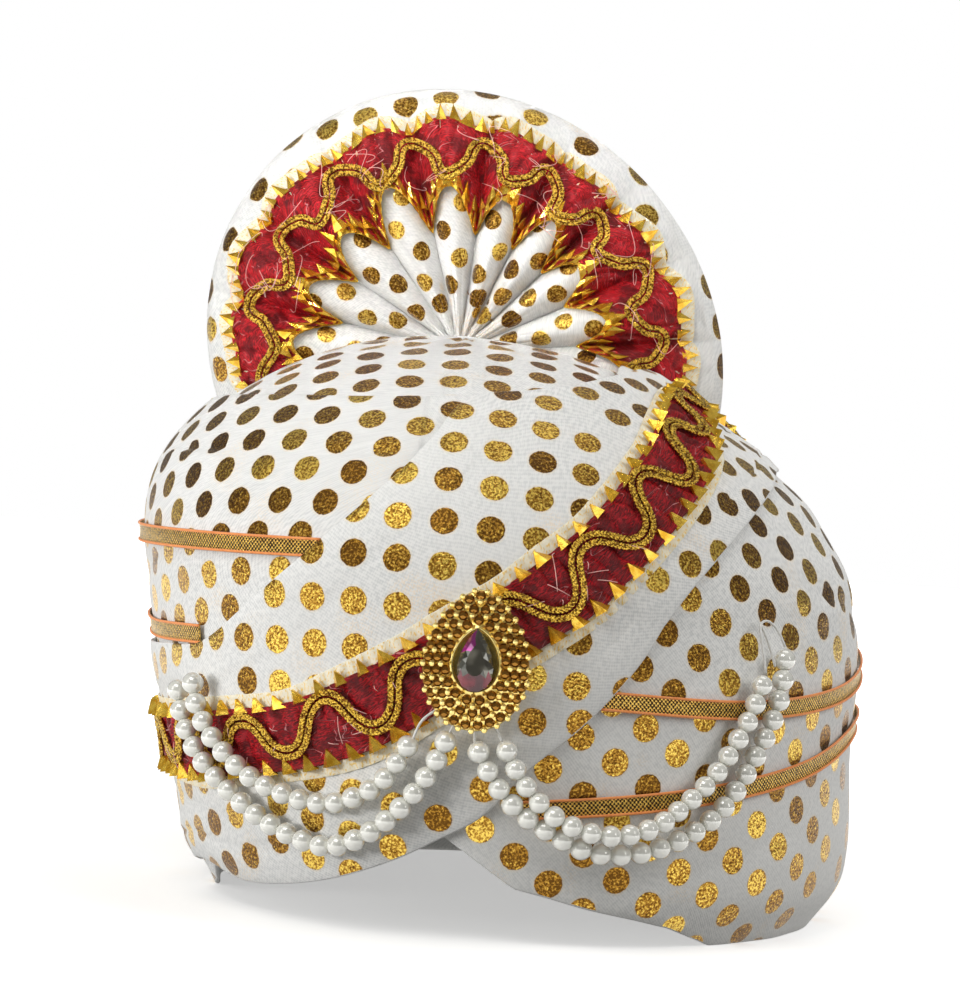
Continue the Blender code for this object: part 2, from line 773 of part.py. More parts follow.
def make_brooch_stone():
    """Pear-cut stone with a flat table, standing just clear of its seat."""
    seat = BROOCH_RING_ROWS[-1][1] * MM + STONE_GAP
    vertices = []
    faces = []
    for ring, (share, height) in enumerate(STONE_RING_ROWS):
        for side in range(STONE_SIDES):
            offset = 0.5 if ring == 0 else 0.0
            across, up = pear(STONE_WIDTH * share, STONE_HEIGHT * share, STONE_SWELL,
                              (side + offset) / STONE_SIDES)
            vertices.append(brooch_place(across, up, seat + height * STONE_DEPTH))
    for ring in range(len(STONE_RING_ROWS) - 1):
        high = ring * STONE_SIDES
        low = high + STONE_SIDES
        for side in range(STONE_SIDES):
            after = (side + 1) % STONE_SIDES
            faces.append((high + side, high + after, low + after))
            faces.append((high + side, low + after, low + side))
    faces.append(tuple(reversed(range(STONE_SIDES))))
    faces.append(tuple((len(STONE_RING_ROWS) - 1) * STONE_SIDES + side for side in range(STONE_SIDES)))
    return add_object("brooch_stone", vertices, faces, "dark_stone")


def thread_points(rows):
    """The thread of a pearl string as a fine run of points."""
    points = []
    for sample in range(THREAD_SAMPLES + 1):
        turn, climb, out = blend_rows(rows, sample / THREAD_SAMPLES)
        points.append(body_point(turn, climb) + body_normal(turn, climb) * out * MM)
    return points


def along_thread(points, distance):
    """Point and direction at a distance along the thread."""
    for near, far in zip(points, points[1:]):
        step = (far - near).length
        if distance <= step:
            return near + (far - near) * distance / step, (far - near).normalized()
        distance -= step
    return points[-1], (points[-1] - points[-2]).normalized()


def make_pearl_string(name, rows):
    """Round pearls fused end to end along a thread, their necks where they touch."""
    points = thread_points(rows)
    length = sum((far - near).length for near, far in zip(points, points[1:]))
    pearls = round(length / PEARL_PITCH)
    pitch = length / pearls
    neck = PEARL_RADIUS * math.sin(math.radians(PEARL_NECK_ANGLE))
    rings = [(0.0, neck)]
    for pearl in range(pearls):
        for angle in PEARL_RING_ANGLES:
            reach = pitch / 2 * math.cos(math.radians(angle)) / math.cos(math.radians(PEARL_NECK_ANGLE))
            rings.append((pitch * (pearl + 0.5) - reach, PEARL_RADIUS * math.sin(math.radians(angle))))
        rings.append((pitch * (pearl + 1), neck))
    vertices = []
    faces = []
    for distance, radius in rings:
        centre, ahead = along_thread(points, distance)
        side = ahead.cross(Vector((0, 1, 0))).normalized()
        out = side.cross(ahead)
        for corner in range(PEARL_SIDES):
            angle = 2 * math.pi * corner / PEARL_SIDES
            vertices.append(centre + (side * math.cos(angle) + out * math.sin(angle)) * radius)
    for ring in range(len(rings) - 1):
        for corner in range(PEARL_SIDES):
            after = (corner + 1) % PEARL_SIDES
            low = ring * PEARL_SIDES
            high = low + PEARL_SIDES
            faces.append((low + corner, high + corner, high + after, low + after))
    faces.append(tuple(range(PEARL_SIDES)))
    last = (len(rings) - 1) * PEARL_SIDES
    faces.append(tuple(last + corner for corner in reversed(range(PEARL_SIDES))))
    return add_object(name, vertices, faces, "pearl")


def centre_over_origin(things):
    """Move every piece so that the middle of the whole stands over the origin and its rim on z = 0."""
    corners = [vertex.co for thing in things for vertex in thing.data.vertices]
    low = Vector([min(corner[axis] for corner in corners) for axis in range(3)])
    high = Vector([max(corner[axis] for corner in corners) for axis in range(3)])
    shift = Vector((-(low.x + high.x) / 2, -(low.y + high.y) / 2, -low.z))
    for thing in things:
        for vertex in thing.data.vertices:
            vertex.co += shift


def main():
    clear_scene()
    things = [
        make_side_wrap(),
        make_crown(),
        make_sash(),
        make_lace_band(),
        make_lace_braid(),
        make_fan(),
        make_fan_lace(),
        make_fan_braid(),
        make_brooch_setting(),
        make_brooch_stone(),
    ]
    things += [make_ribbon(name, rows) for name, rows in RIBBONS.items()]
    things += [make_pearl_string(name, rows) for name, rows in PEARL_STRINGS.items()]
    centre_over_origin(things)


main()
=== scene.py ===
"""Looks of the ready-tied pagri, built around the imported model.

Places on the turban are a turn in degrees round from the front and a climb from rim to crown, as in the CAD.
All sizes are in metres.
"""
import math

import bpy
import numpy as np
from mathutils import Matrix, Quaternion, Vector, noise
from mathutils.kdtree import KDTree


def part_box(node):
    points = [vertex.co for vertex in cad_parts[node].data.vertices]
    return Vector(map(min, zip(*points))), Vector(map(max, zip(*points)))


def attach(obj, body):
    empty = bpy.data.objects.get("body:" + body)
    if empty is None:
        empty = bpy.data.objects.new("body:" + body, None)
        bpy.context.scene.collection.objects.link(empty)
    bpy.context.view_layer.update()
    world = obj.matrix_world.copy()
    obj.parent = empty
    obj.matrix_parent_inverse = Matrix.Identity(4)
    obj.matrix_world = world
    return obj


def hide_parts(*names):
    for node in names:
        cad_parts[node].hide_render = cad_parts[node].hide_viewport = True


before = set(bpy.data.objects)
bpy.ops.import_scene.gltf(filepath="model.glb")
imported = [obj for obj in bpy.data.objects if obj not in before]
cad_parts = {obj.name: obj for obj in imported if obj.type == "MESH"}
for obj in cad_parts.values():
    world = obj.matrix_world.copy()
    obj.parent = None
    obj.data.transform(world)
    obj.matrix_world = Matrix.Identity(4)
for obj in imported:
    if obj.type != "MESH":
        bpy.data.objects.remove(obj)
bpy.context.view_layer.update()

MM = 0.001

# Sizes and tables of the CAD model, which the visible pieces follow. The fan's last angle and the depth of
# its pleats, the rim's front left and where three ribbons start differ a little, as the photo shows them.
BODY_WIDTH = 219 * MM
BODY_DEPTH = 226 * MM
CROWN_HEIGHT = 174.5 * MM
SHOULDER_CLIMB = 0.40
APEX_SHIFT = -0.15
WRAP_COLUMNS = 36
WRAP_FIRST_TURN = -3.5
WRAP_ROWS = 9
WRAP_THICK = 1.8 * MM
CROWN_TUCK = 1.6 * MM
CROWN_DROP = WRAP_THICK + CROWN_TUCK
CROWN_FOOT_CLIMB = 0.58
FAN_CENTRE = np.array((-24.5, 55, 165.5)) * MM
FAN_HALF_WIDTH = 83.8 * MM
FAN_RISE = 83 * MM
FAN_FIRST_ANGLE = -11
FAN_LAST_ANGLE = 198
FAN_THICK = 1.8 * MM
FAN_PLEAT_DEPTH = 9 * MM
FAN_FOOT_GAP = 1.0 * MM
FAN_FOOT_START = 4 * MM
FOLD_CLEARANCE = 5 * MM
BROOCH_TURN = 3.2
BROOCH_CLIMB = 0.347
BROOCH_STAND_OFF = 6.8 * MM
BROOCH_WIDTH = 33 * MM
BROOCH_HEIGHT = 40 * MM
BROOCH_SWELL = 0.30
STONE_WIDTH = 13 * MM
STONE_HEIGHT = 18 * MM
STONE_DEPTH = 4.6 * MM
STONE_SWELL = 0.8
PEARL_PITCH = 6.0 * MM
PEARL_SQUEEZE = 0.16 * MM
RIBBON_WIDTH = 5.6 * MM
TURN_STEP = 0.5
CLIMB_STEP = 0.002

WALL_ROWS = np.array((
    (0.000, 0.850, 0.085, 0.880), (0.068, 0.925, 0.080, 0.940), (0.136, 0.955, 0.065, 0.965),
    (0.204, 0.970, 0.045, 0.985), (0.272, 0.976, 0.030, 0.995), (0.340, 0.986, 0.020, 1.000),
    (0.409, 0.998, 0.014, 1.000), (0.477, 0.998, 0.002, 0.995), (0.545, 0.988, -0.020, 0.985),
))
LUMP_ROWS = (
    (95, 0.44, 40, 0.085, 3.5), (95, 0.58, 35, 0.060, -5.0), (90, 0.20, 35, 0.100, 0.8),
    (-90, 0.17, 38, 0.180, -5.5),
)
# Bulges that only the visible cloth has, where the right shoulder steps in
FINE_LUMP_ROWS = (
    (95, 0.570, 34, 0.050, 5.5), (95, 0.700, 34, 0.065, -7.5), (-88, 0.560, 34, 0.090, 2.0),
    (-90, 0.170, 34, 0.090, -1.8),
)
RIM_ROWS = np.array((
    (-180, 0.000), (-105, 0.000), (-74, 0.000), (-66, 0.015), (-58, 0.046), (-48, 0.048), (-36, 0.056),
    (-24, 0.072), (-13, 0.100), (-3.5, 0.132), (1, 0.106), (7, 0.073), (19, 0.052), (34, 0.030),
    (40, 0.014), (46, 0.000), (180, 0.000),
))
FOLD_ROWS = np.array((
    (-180, 0.640), (-120, 0.650), (-90, 0.668), (-61, 0.692), (-35, 0.712), (-10, 0.726), (13, 0.742),
    (40, 0.774), (62, 0.802), (80, 0.822), (97, 0.826), (109, 0.812), (118, 0.762), (126, 0.680),
    (134, 0.648), (180, 0.640),
))
SASH_ROWS = np.array((
    (-105, 0.030, -105, 0.300), (-88, 0.022, -90, 0.302), (-72, 0.040, -75, 0.306),
    (-58, 0.050, -60, 0.315), (-46, 0.040, -47, 0.328), (-34, 0.048, -36, 0.378), (-23, 0.066, -27, 0.434),
    (-13, 0.094, -20, 0.485), (-4.5, 0.127, -12.5, 0.545), (3.5, 0.163, -6, 0.602),
    (10.5, 0.220, -1, 0.655), (18.5, 0.275, 3, 0.702), (28, 0.355, 9, 0.730), (39, 0.452, 22, 0.744),
    (52, 0.525, 38, 0.764), (66, 0.575, 56, 0.786), (84, 0.606, 78, 0.800), (101, 0.604, 99, 0.792),
    (116, 0.580, 115, 0.762), (132, 0.475, 130, 0.620), (155, 0.370, 153, 0.530), (180, 0.280, 178, 0.465),
    (205, 0.190, 203, 0.405), (230, 0.105, 229, 0.345),
))
LACE_ROWS = np.array((
    (-105, 0.140, -105, 0.232), (-82, 0.142, -84, 0.235), (-62, 0.149, -65, 0.241),
    (-48, 0.154, -50, 0.254), (-36, 0.171, -38, 0.268), (-25, 0.188, -28, 0.283), (-16, 0.209, -20, 0.312),
    (-8, 0.240, -14, 0.338), (0, 0.285, -7, 0.370), (7, 0.326, 0, 0.408), (14, 0.361, 7.5, 0.448),
    (22, 0.402, 14, 0.490), (29, 0.453, 21, 0.532), (37, 0.508, 28.5, 0.585), (46, 0.563, 37, 0.638),
    (57, 0.618, 49, 0.700), (71, 0.672, 65, 0.745), (86, 0.684, 83, 0.756), (102, 0.684, 100, 0.757),
    (116, 0.664, 115, 0.737), (132, 0.525, 131, 0.597), (155, 0.410, 154, 0.490), (180, 0.333, 179, 0.415),
    (205, 0.258, 204, 0.342), (230, 0.187, 229, 0.274),
))
RIBBONS = {
    "ribbon_right_upper": (
        (21.5, 0.307), (48, 0.298), (72, 0.308), (96, 0.334), (120, 0.352), (144, 0.360),
    ),
    "ribbon_right_lower": (
        (9.5, 0.170), (36, 0.190), (62, 0.219), (88, 0.260), (114, 0.268), (140, 0.270), (166, 0.270),
    ),
    "ribbon_left_upper": (
        (-20.5, 0.473), (-50, 0.461), (-76, 0.452), (-102, 0.447), (-128, 0.440), (-154, 0.435),
    ),
    "ribbon_left_lower": (
        (-47.5, 0.338), (-66, 0.330), (-80, 0.330), (-94, 0.332), (-108, 0.336),
    ),
}
PEARL_STRINGS = {
    "pearl_string_left_upper": (
        (-44.5, 0.296, 8.4), (-43, 0.256, 9.4), (-39, 0.218, 9.6), (-33.5, 0.185, 8.6), (-27, 0.167, 7.2),
        (-21, 0.162, 6.6), (-15.5, 0.174, 6.6), (-10.5, 0.200, 7.0), (-5.8, 0.252, 8.0),
    ),
    "pearl_string_left_lower": (
        (-49, 0.284, 8.4), (-47.3, 0.238, 9.4), (-43.5, 0.195, 9.4), (-38.5, 0.160, 7.6), (-31, 0.128, 6.6),
        (-23, 0.112, 6.6), (-17, 0.122, 6.6), (-11, 0.150, 6.6), (-6.3, 0.185, 6.8), (-2.8, 0.225, 7.2),
        (-0.6, 0.262, 8.0),
    ),
    "pearl_string_right_upper": (
        (6.8, 0.255, 7.0), (9.8, 0.208, 7.0), (14.2, 0.169, 8.2), (21, 0.151, 9.0), (28.2, 0.159, 8.2),
        (34.5, 0.185, 5.8), (40.2, 0.223, 5.0), (44.2, 0.269, 5.0), (48.8, 0.339, 5.0),
    ),
    "pearl_string_right_lower": (
        (2.8, 0.252, 7.0), (5.3, 0.211, 6.8), (8.8, 0.174, 6.0), (14, 0.146, 5.0), (19.5, 0.127, 4.8),
        (25.8, 0.126, 4.8), (33.2, 0.142, 5.0), (40.5, 0.174, 5.0), (45.8, 0.221, 5.0), (50.8, 0.293, 5.0),
        (53.8, 0.369, 5.0),
    ),
}
FAN_ROWS = np.array((
    (0.00, 0.25, 0.0, 0), (0.35, 0.80, 0.0, 0), (0.68, 0.95, 0.0, 0), (0.88, 0.45, 1.2, 20),
    (0.97, 0.20, 5.0, 55), (1.00, 0.10, 10.0, 85),
))
PLEAT_RIDGES = (-3, 16, 38, 57, 76, 96, 117, 139, 160, 181)

# Heights over the wound wall at which the layers lie in the looks
SASH_FACE = 2.6 * MM
SASH_EDGE = 2.0 * MM
SASH_CLOTH = 1.0 * MM
LACE_CLOTH = 0.5 * MM
BRAID_FACE = 5.5 * MM

# Gold foil dots. A field of dots is laid flat round a turn and climb, out to a reach: then come the two steps
# of its grid and its first dot, across and up, all in mm.
DOT_RADIUS = 4.1 * MM
RIB_PITCH = 1.25 * MM
DOT_KEEP_APART = 10.5 * MM
DOT_OFF_CLOTH = 3.5 * MM
CLOTH_BEND = 105 * MM
FAR_FROM_DOTS = 1.0
WRAP_UPPER_DOTS = (
    (-38, 0.54, 75, 4.6, 11.3, -11.1, 9.1, -0.6, -2.7), (-100, 0.50, 80, 5.0, 12.0, -12.0, 7.0, 0, 0),
    (-165, 0.45, 90, 7.0, 11.4, -11.0, 7.8, 0, 0), (125, 0.60, 80, 7.0, 11.4, -11.0, 7.8, 0, 0),
    (20, 0.76, 60, 13.4, -0.6, -1.5, 12.6, 0, 0),
)
WRAP_LOWER_DOTS = (
    (42, 0.25, 80, 8.7, 10.3, -10.9, 7.2, -2.8, -8.2), (78, 0.50, 60, 9.0, 10.0, -10.5, 8.0, 3, 2),
    (110, 0.25, 75, 9.0, 10.0, -10.5, 8.0, 0, 0), (180, 0.20, 90, 9.0, 10.0, -10.5, 8.0, 0, 0),
    (-50, 0.08, 70, 12.6, 4.0, -4.2, 12.0, 3, 2), (-115, 0.10, 70, 12.6, 4.0, -4.2, 12.0, 0, 0),
)
SASH_DOTS = (
    (-9, 0.51, 72, 13.4, -0.6, -1.5, 13.3, 2.8, 4.0), (-2, 0.19, 62, 12.9, -2.4, 0.1, 12.4, -1.5, 3.6),
    (50, 0.66, 60, 13.0, 2.0, -2.2, 12.8, 0, 0), (-60, 0.18, 62, 13.0, 3.4, -3.2, 12.6, 2, 3),
    (105, 0.60, 66, 12.0, -6.0, 5.8, 12.0, 0, 0), (160, 0.42, 70, 11.0, -7.5, 7.3, 11.0, 0, 0),
    (-135, 0.25, 70, 12.0, -4.0, 4.2, 12.4, 0, 0),
)
CROWN_DOTS = (
    (0, 0.92, 130, 13.4, 1.0, -1.2, 13.0, 0, 2),
)

# Folds along the sash: share across it, depth in mm, width and sway
SASH_FOLDS = (
    (0.13, 0.7, 0.012, 0.02), (0.30, 0.35, 0.014, 0.03), (0.80, 0.4, 0.014, 0.02),
)

# Fold lines of the wrap: turn and climb of both ends, then depth, width and reach in mm. A degree of turn and
# a whole climb are about this long on the cloth.
DEGREE_LENGTH = 110 * MM * math.pi / 180
CLIMB_LENGTH = 195 * MM
WRAP_CREASES = (
    ((-76, 0.585), (2, 0.628), 0.9, 1.3, 9),
    ((-30, 0.60), (-52, 0.36), 0.5, 2.2, 12),
    ((28, 0.30), (84, 0.47), 0.5, 2.0, 12),
    ((60, 0.46), (100, 0.38), 0.7, 2.4, 14),
    ((20, 0.06), (62, 0.14), 0.5, 2.2, 12),
    ((-88, 0.35), (-60, 0.44), 0.5, 2.2, 12),
    ((120, 0.10), (170, 0.30), 0.7, 2.4, 14),
    ((150, 0.50), (210, 0.58), 0.7, 2.4, 14),
)

# Lace: its edges as shares of the band, the puffs of its quilting, and how far out it lies
LACE_LOW = 0.10
LACE_HIGH = 0.88
PUFF_LENGTH = 6.6 * MM
PUFF_WIDTH = 6.2 * MM
LACE_OUT = 3.25 * MM
PUFF_HEIGHT = 1.7 * MM
FAN_LACE_OUT = 1.5 * MM
FAN_PUFF_HEIGHT = 1.9 * MM

# Gold teeth, and the braids of two plaited chains
TOOTH_PITCH = 7.4 * MM
BRAID_SWING = 0.24
BRAID_PERIOD = 30 * MM
BRAID_CREST = 280 * MM
CHAIN_PERIOD = 3.8 * MM
CHAIN_SWING = 0.78 * MM
CHAIN_STRAND = 0.46 * MM
CHAIN_APART = 1.35 * MM
BAND_CHAIN_SIZE = 0.92
FAN_CHAIN_SIZE = 0.8
FAN_BRAID_OUT = 4.4 * MM

# Fan: columns of its grid, and its dots near the rim and on the petals
FAN_COLUMNS = 420
FAN_DOT_TURN = (12.6 * MM, 4.2 * MM)
FAN_DOT_START = (2 * MM, 1 * MM)
FAN_PETAL_SIDE = 4.2

# Thread ends of the pearl strings: turn, climb and height over the wall in mm
THREAD_ENDS = (
    ((49.0, 0.343, 5.0), (49.4, 0.375, 4.4), (50.3, 0.402, 3.6), (52.2, 0.406, 3.4), (53.5, 0.393, 4.0),
     (53.9, 0.372, 5.0)),
    ((50.3, 0.402, 3.6), (50.8, 0.380, 4.2), (51.4, 0.350, 4.4)),
    ((-5.9, 0.250, 8.0), (-4.4, 0.274, 8.6), (-1.6, 0.292, 8.6)),
    ((-0.7, 0.260, 8.0), (0.2, 0.276, 8.6), (0.9, 0.292, 8.6)),
    ((2.9, 0.250, 7.2), (2.9, 0.272, 8.2), (2.6, 0.292, 8.6)),
    ((6.7, 0.256, 7.2), (5.4, 0.276, 8.2), (4.2, 0.292, 8.6)),
)

# Brooch. Its plate: shares of the outline and heights in mm. Its rings of studs: share of the outline, how
# many studs, their height in mm and their offset in studs. The stone's rings: share of its outline, level
# from its back to its table, and offset in facets. Then the stone's colours, painted reflections that its
# facets take by where they lie.
PLATE_ROWS = (
    (1.0, 0.0), (1.01, 0.7), (0.99, 1.3), (0.90, 1.7), (0.62, 2.6),
    (0.50, 3.4), (0.47, 4.0), (0.44, 4.0), (0.425, 3.0), (0.41, 2.7),
)
BROOCH_RINGS = (
    (0.92, 29, 1.5, 0.0), (0.745, 23, 2.2, 0.5), (0.575, 17, 2.9, 0.0),
)
STONE_ROWS = (
    (0.50, 1.00, 0.5), (0.76, 0.84, 0.0), (1.00, 0.50, 0.5), (1.00, 0.42, 0.5), (0.55, 0.00, 0.5),
)
STONE_SEAT = 2.9 * MM
# Painted reflections of the stone's facets: olive-dark, a pale grey streak, deep red and rose.
OLIVE_REFLECTION, GREY_STREAK_REFLECTION, RED_REFLECTION, ROSE_REFLECTION = range(4)

# Camera: turn, rise and roll in degrees, its distance, and where it looks
CAMERA_TURN = 6.0
CAMERA_RISE = 8.0
CAMERA_ROLL = 4.0
CAMERA_AWAY = 1.5
LOOK_ACROSS = -8.7 * MM
LOOK_UP = 122 * MM
LENS = 173.8

# Thickness of the visible cloths, and radius of the threads
WRAP_CLOTH = 1.5 * MM
CROWN_CLOTH = 1.4 * MM
FAN_CLOTH = 1.2 * MM
RIBBON_CLOTH = 0.35 * MM
NET_CLOTH = 0.25 * MM
RIBBON_CORD = 0.42 * MM
PEARL_THREAD = 0.35 * MM
THREAD_END = 0.38 * MM

# Colours of the lights
CREAM = (1.0, 0.99, 0.97)
PALE = (1.0, 0.995, 0.98)


# Surface of the wound body


def open_curve(rows, share):
    """Smooth curve through the rows of a table at shares 0..1."""
    rows = np.asarray(rows, float)
    count = len(rows) - 1
    padded = np.vstack((2 * rows[0] - rows[1], rows, 2 * rows[-1] - rows[-2]))
    place = np.clip(share, 0, 1) * count
    first = np.minimum(place.astype(int), count - 1)
    return spline(padded[first], padded[first + 1], padded[first + 2], padded[first + 3], place - first)


def closed_curve(rows, share):
    """Smooth curve through a table whose turns go once round; share may be any number."""
    rows = np.asarray(rows, float)
    count = len(rows)
    lap = np.array([360.0, 0.0] * (rows.shape[1] // 2))
    place = np.asarray(share, float) * count
    first = np.floor(place).astype(int)
    corners = []
    for step in (-1, 0, 1, 2):
        index = first + step
        corners.append(rows[index % count] + (index // count)[..., None] * lap)
    return spline(*corners, place - first)


def spline(a, b, c, d, along):
    """Between b and c on the smooth curve through four neighbouring rows."""
    along = along[..., None]
    bend = (2 * a - 5 * b + 4 * c - d) * along ** 2 + (3 * b - a - 3 * c + d) * along ** 3
    return 0.5 * (2 * b + (c - a) * along + bend)


def around(turn):
    """The same turn from -180 to 180."""
    return (np.asarray(turn, float) + 180) % 360 - 180


def rim_climb(turn):
    return np.interp(around(turn), RIM_ROWS[:, 0], RIM_ROWS[:, 1])


def fold_climb(turn):
    return np.interp(around(turn), FOLD_ROWS[:, 0], FOLD_ROWS[:, 1])


def lump(turn, climb, rows):
    """How far soft bulges push the wall out: each has its turn, climb, both reaches and a height in mm."""
    total = np.zeros(np.broadcast(turn, climb).shape)
    for lump_turn, lump_climb, turn_reach, climb_reach, height in rows:
        across = around(turn - lump_turn) / turn_reach
        up = (climb - lump_climb) / climb_reach
        total = total + height * MM * np.exp(-across ** 2 - up ** 2)
    return total


def unmoved_body(turn, climb, lumps=LUMP_ROWS):
    """Points of the wound wall and the crown, before the move that puts the model over the origin."""
    turn, climb = np.broadcast_arrays(np.asarray(turn, float), np.asarray(climb, float))
    wall = open_curve(WALL_ROWS, climb / SHOULDER_CLIMB)
    shoulder = WALL_ROWS[-1]
    rise = np.clip((climb - SHOULDER_CLIMB) / (1 - SHOULDER_CLIMB), 0, 1) * math.pi / 2
    low = climb < SHOULDER_CLIMB
    height = np.where(low, wall[..., 0], shoulder[0] + (1 - shoulder[0]) * np.sin(rise))
    half_width = np.where(low, wall[..., 1], shoulder[1] * np.cos(rise))
    shift = np.where(low, wall[..., 2], shoulder[2] + (APEX_SHIFT - shoulder[2]) * np.sin(rise))
    half_depth = np.where(low, wall[..., 3], shoulder[3] * np.cos(rise))
    out = lump(turn, climb, lumps)
    angle = np.radians(turn)
    return np.stack((
        shift * BODY_WIDTH / 2 + (half_width * BODY_WIDTH / 2 + out) * np.sin(angle),
        -(half_depth * BODY_DEPTH / 2 + out) * np.cos(angle),
        height * CROWN_HEIGHT,
    ), -1)


def find_shift():
    """How far the CAD model was moved to stand over the origin, from the wrap's own box."""
    turns = WRAP_FIRST_TURN + 360 * np.arange(WRAP_COLUMNS)[:, None] / WRAP_COLUMNS
    share = np.arange(WRAP_ROWS + 1)[None, :] / WRAP_ROWS
    climbs = rim_climb(turns) + (fold_climb(turns) - rim_climb(turns)) * share
    points = unmoved_body(turns, climbs).reshape(-1, 3)
    low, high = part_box("side_wrap")
    found = (np.array(low) + np.array(high)) / 2 - (points.min(0) + points.max(0)) / 2
    found[2] = low.z - points[:, 2].min()
    return found


SHIFT = find_shift()
FAN_CENTRE = FAN_CENTRE + SHIFT


def body(turn, climb):
    """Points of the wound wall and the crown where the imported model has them."""
    return unmoved_body(turn, climb, LUMP_ROWS + FINE_LUMP_ROWS) + SHIFT


def body_normal(turn, climb):
    turn, climb = np.broadcast_arrays(np.asarray(turn, float), np.asarray(climb, float))
    climb = np.clip(climb, 0, 0.995)
    along = body(turn + TURN_STEP, climb) - body(turn - TURN_STEP, climb)
    up = body(turn, climb + CLIMB_STEP) - body(turn, np.maximum(climb - CLIMB_STEP, 0))
    return unit(np.cross(along, up))


def unit(vectors):
    return vectors / np.maximum(np.linalg.norm(vectors, axis=-1, keepdims=True), 1e-12)


def off_body(turn, climb, out):
    """Points at a distance straight out from the wall."""
    return body(turn, climb) + body_normal(turn, climb) * np.asarray(out)[..., None]


def surface_axes(turn, climb):
    """A place on the wall, and there the directions to the right, up the wall and out."""
    out = body_normal(turn, climb)
    right = unit(np.cross(np.array((0, 0, 1.0)), out))
    return body(turn, climb), right, np.cross(out, right), out


def band_place(rows, station, share):
    """Turn and climb on a band that goes once round, at a share across from its lower to its upper edge."""
    edges = closed_curve(rows, station)
    turn = edges[..., 0] + (edges[..., 2] - edges[..., 0]) * share
    climb = edges[..., 1] + (edges[..., 3] - edges[..., 1]) * share
    return turn, climb


def band_grid(rows, stations, shares):
    """Stations once round a band, and the turns and climbs of a grid on it."""
    station = (np.arange(stations) / stations)[:, None]
    return station, *band_place(rows, station, shares[None, :])


def arc(points):
    """Length along a run of points."""
    return np.concatenate(([0.0], np.cumsum(np.linalg.norm(np.diff(points, axis=0), axis=1))))


def smooth(low, high, value):
    """A soft step from 0 at low to 1 at high."""
    share = np.clip((value - low) / (high - low), 0, 1)
    return share * share * (3 - 2 * share)


def ripple(points, scale, seed):
    """Soft noise from -1 to 1 at every point."""
    flat = points.reshape(-1, 3) * scale + seed
    values = [noise.noise(Vector(point)) for point in flat]
    return np.array(values).reshape(points.shape[:-1])


# Meshes


def steps_along(points, closed):
    """From the point before to the point after, all along a run of points or a grid of runs."""
    if closed:
        return np.roll(points, -1, 0) - np.roll(points, 1, 0)
    return np.gradient(points, axis=0)


def grid_normals(grid, closed):
    return unit(np.cross(steps_along(grid, closed), np.gradient(grid, axis=1)))


def at_lengths(at, lengths, values):
    """Rows of values at given lengths along their run."""
    return np.stack([np.interp(at, lengths, column) for column in values.T], -1)


def tree_of(points):
    tree = KDTree(len(points))
    for index, point in enumerate(points):
        tree.insert(Vector(point), index)
    tree.balance()
    return tree


def add_mesh(name, vertices, faces, materials, smooth_faces=True, face_materials=None):
    mesh = bpy.data.meshes.new(name)
    mesh.from_pydata([tuple(point) for point in vertices], [], [tuple(face) for face in faces])
    for material in materials:
        mesh.materials.append(material)
    mesh.polygons.foreach_set("use_smooth", [smooth_faces] * len(mesh.polygons))
    if face_materials is not None:
        mesh.polygons.foreach_set("material_index", np.asarray(face_materials, np.int32))
    mesh.update()
    thing = bpy.data.objects.new(name, mesh)
    bpy.context.scene.collection.objects.link(thing)
    return thing


def set_map(thing, name, values):
    """A named UV map from one pair of numbers a face corner."""
    layer = thing.data.uv_layers.new(name=name)
    layer.data.foreach_set("uv", np.asarray(values, np.float32).ravel())


def cloth_profile(outer, thick, normals):
    """Outlines of the lines across a cloth: outer face, rounded edge, inner face and rounded edge."""
    inner = outer - normals * thick
    rounds = []
    for edge, inwards in ((0, outer[:, 1] - outer[:, 0]), (-1, outer[:, -2] - outer[:, -1])):
        middle = (outer[:, edge] + inner[:, edge]) / 2
        bulge = unit(-inwards) * thick / 2
        outside = (outer[:, edge] - middle) * 0.7 + bulge * 0.7
        inside = (inner[:, edge] - middle) * 0.7 + bulge * 0.7
        rounds.append(np.stack((middle + outside, middle + bulge, middle + inside), 1))
    return np.concatenate((outer, rounds[1], inner[:, ::-1], rounds[0][:, ::-1]), 1)


def skin_quads(lines, count, closed):
    """Faces between each outline and the next."""
    line = np.arange(lines if closed else lines - 1)[:, None]
    place = np.arange(count)[None, :]
    after_line = (line + 1) % lines
    after_place = (place + 1) % count
    return np.stack(np.broadcast_arrays(
        line * count + place, after_line * count + place,
        after_line * count + after_place, line * count + after_place,
    ), -1).reshape(-1, 4)


def end_caps(lines, count, across, flipped):
    """Faces that close both ends of a cloth that doesn't go all round."""
    caps = []
    for base in (np.arange(count), (lines - 1) * count + np.arange(count)):
        opposite = base[2 * across + 2 - np.arange(across)]
        faces = [[base[j], base[j + 1], opposite[j + 1], opposite[j]] for j in range(across - 1)]
        faces.append([base[across - 1], *base[across:across + 3], opposite[-1]])
        faces.append([opposite[0], *base[count - 3:], base[0]])
        step = -1 if (base[0] == 0) == flipped else 1
        caps += [[int(index) for index in face[::step]] for face in faces]
    return caps


def weave_map(profile, quads, corner, closed):
    """How far along and across the cloth each face corner lies."""
    steps = np.linalg.norm(np.diff(profile, axis=0), axis=2)
    place = np.zeros((*profile.shape[:2], 2))
    place[1:, :, 0] = np.cumsum(steps, axis=0)
    place[:, 1:, 1] = np.cumsum(np.linalg.norm(np.diff(profile, axis=1), axis=2), axis=1)
    pair = place.reshape(-1, 2)[corner]
    if closed:
        # The last faces join the first outline again, where the length has to go on and not start anew
        lines, count = profile.shape[:2]
        closing = place[-1, :, 0].max() + steps[0].mean()
        last = np.arange(len(quads)) >= (lines - 1) * count
        pair[:, 0] += (closing * ((quads < count) & last[:, None])).reshape(-1)
    return pair


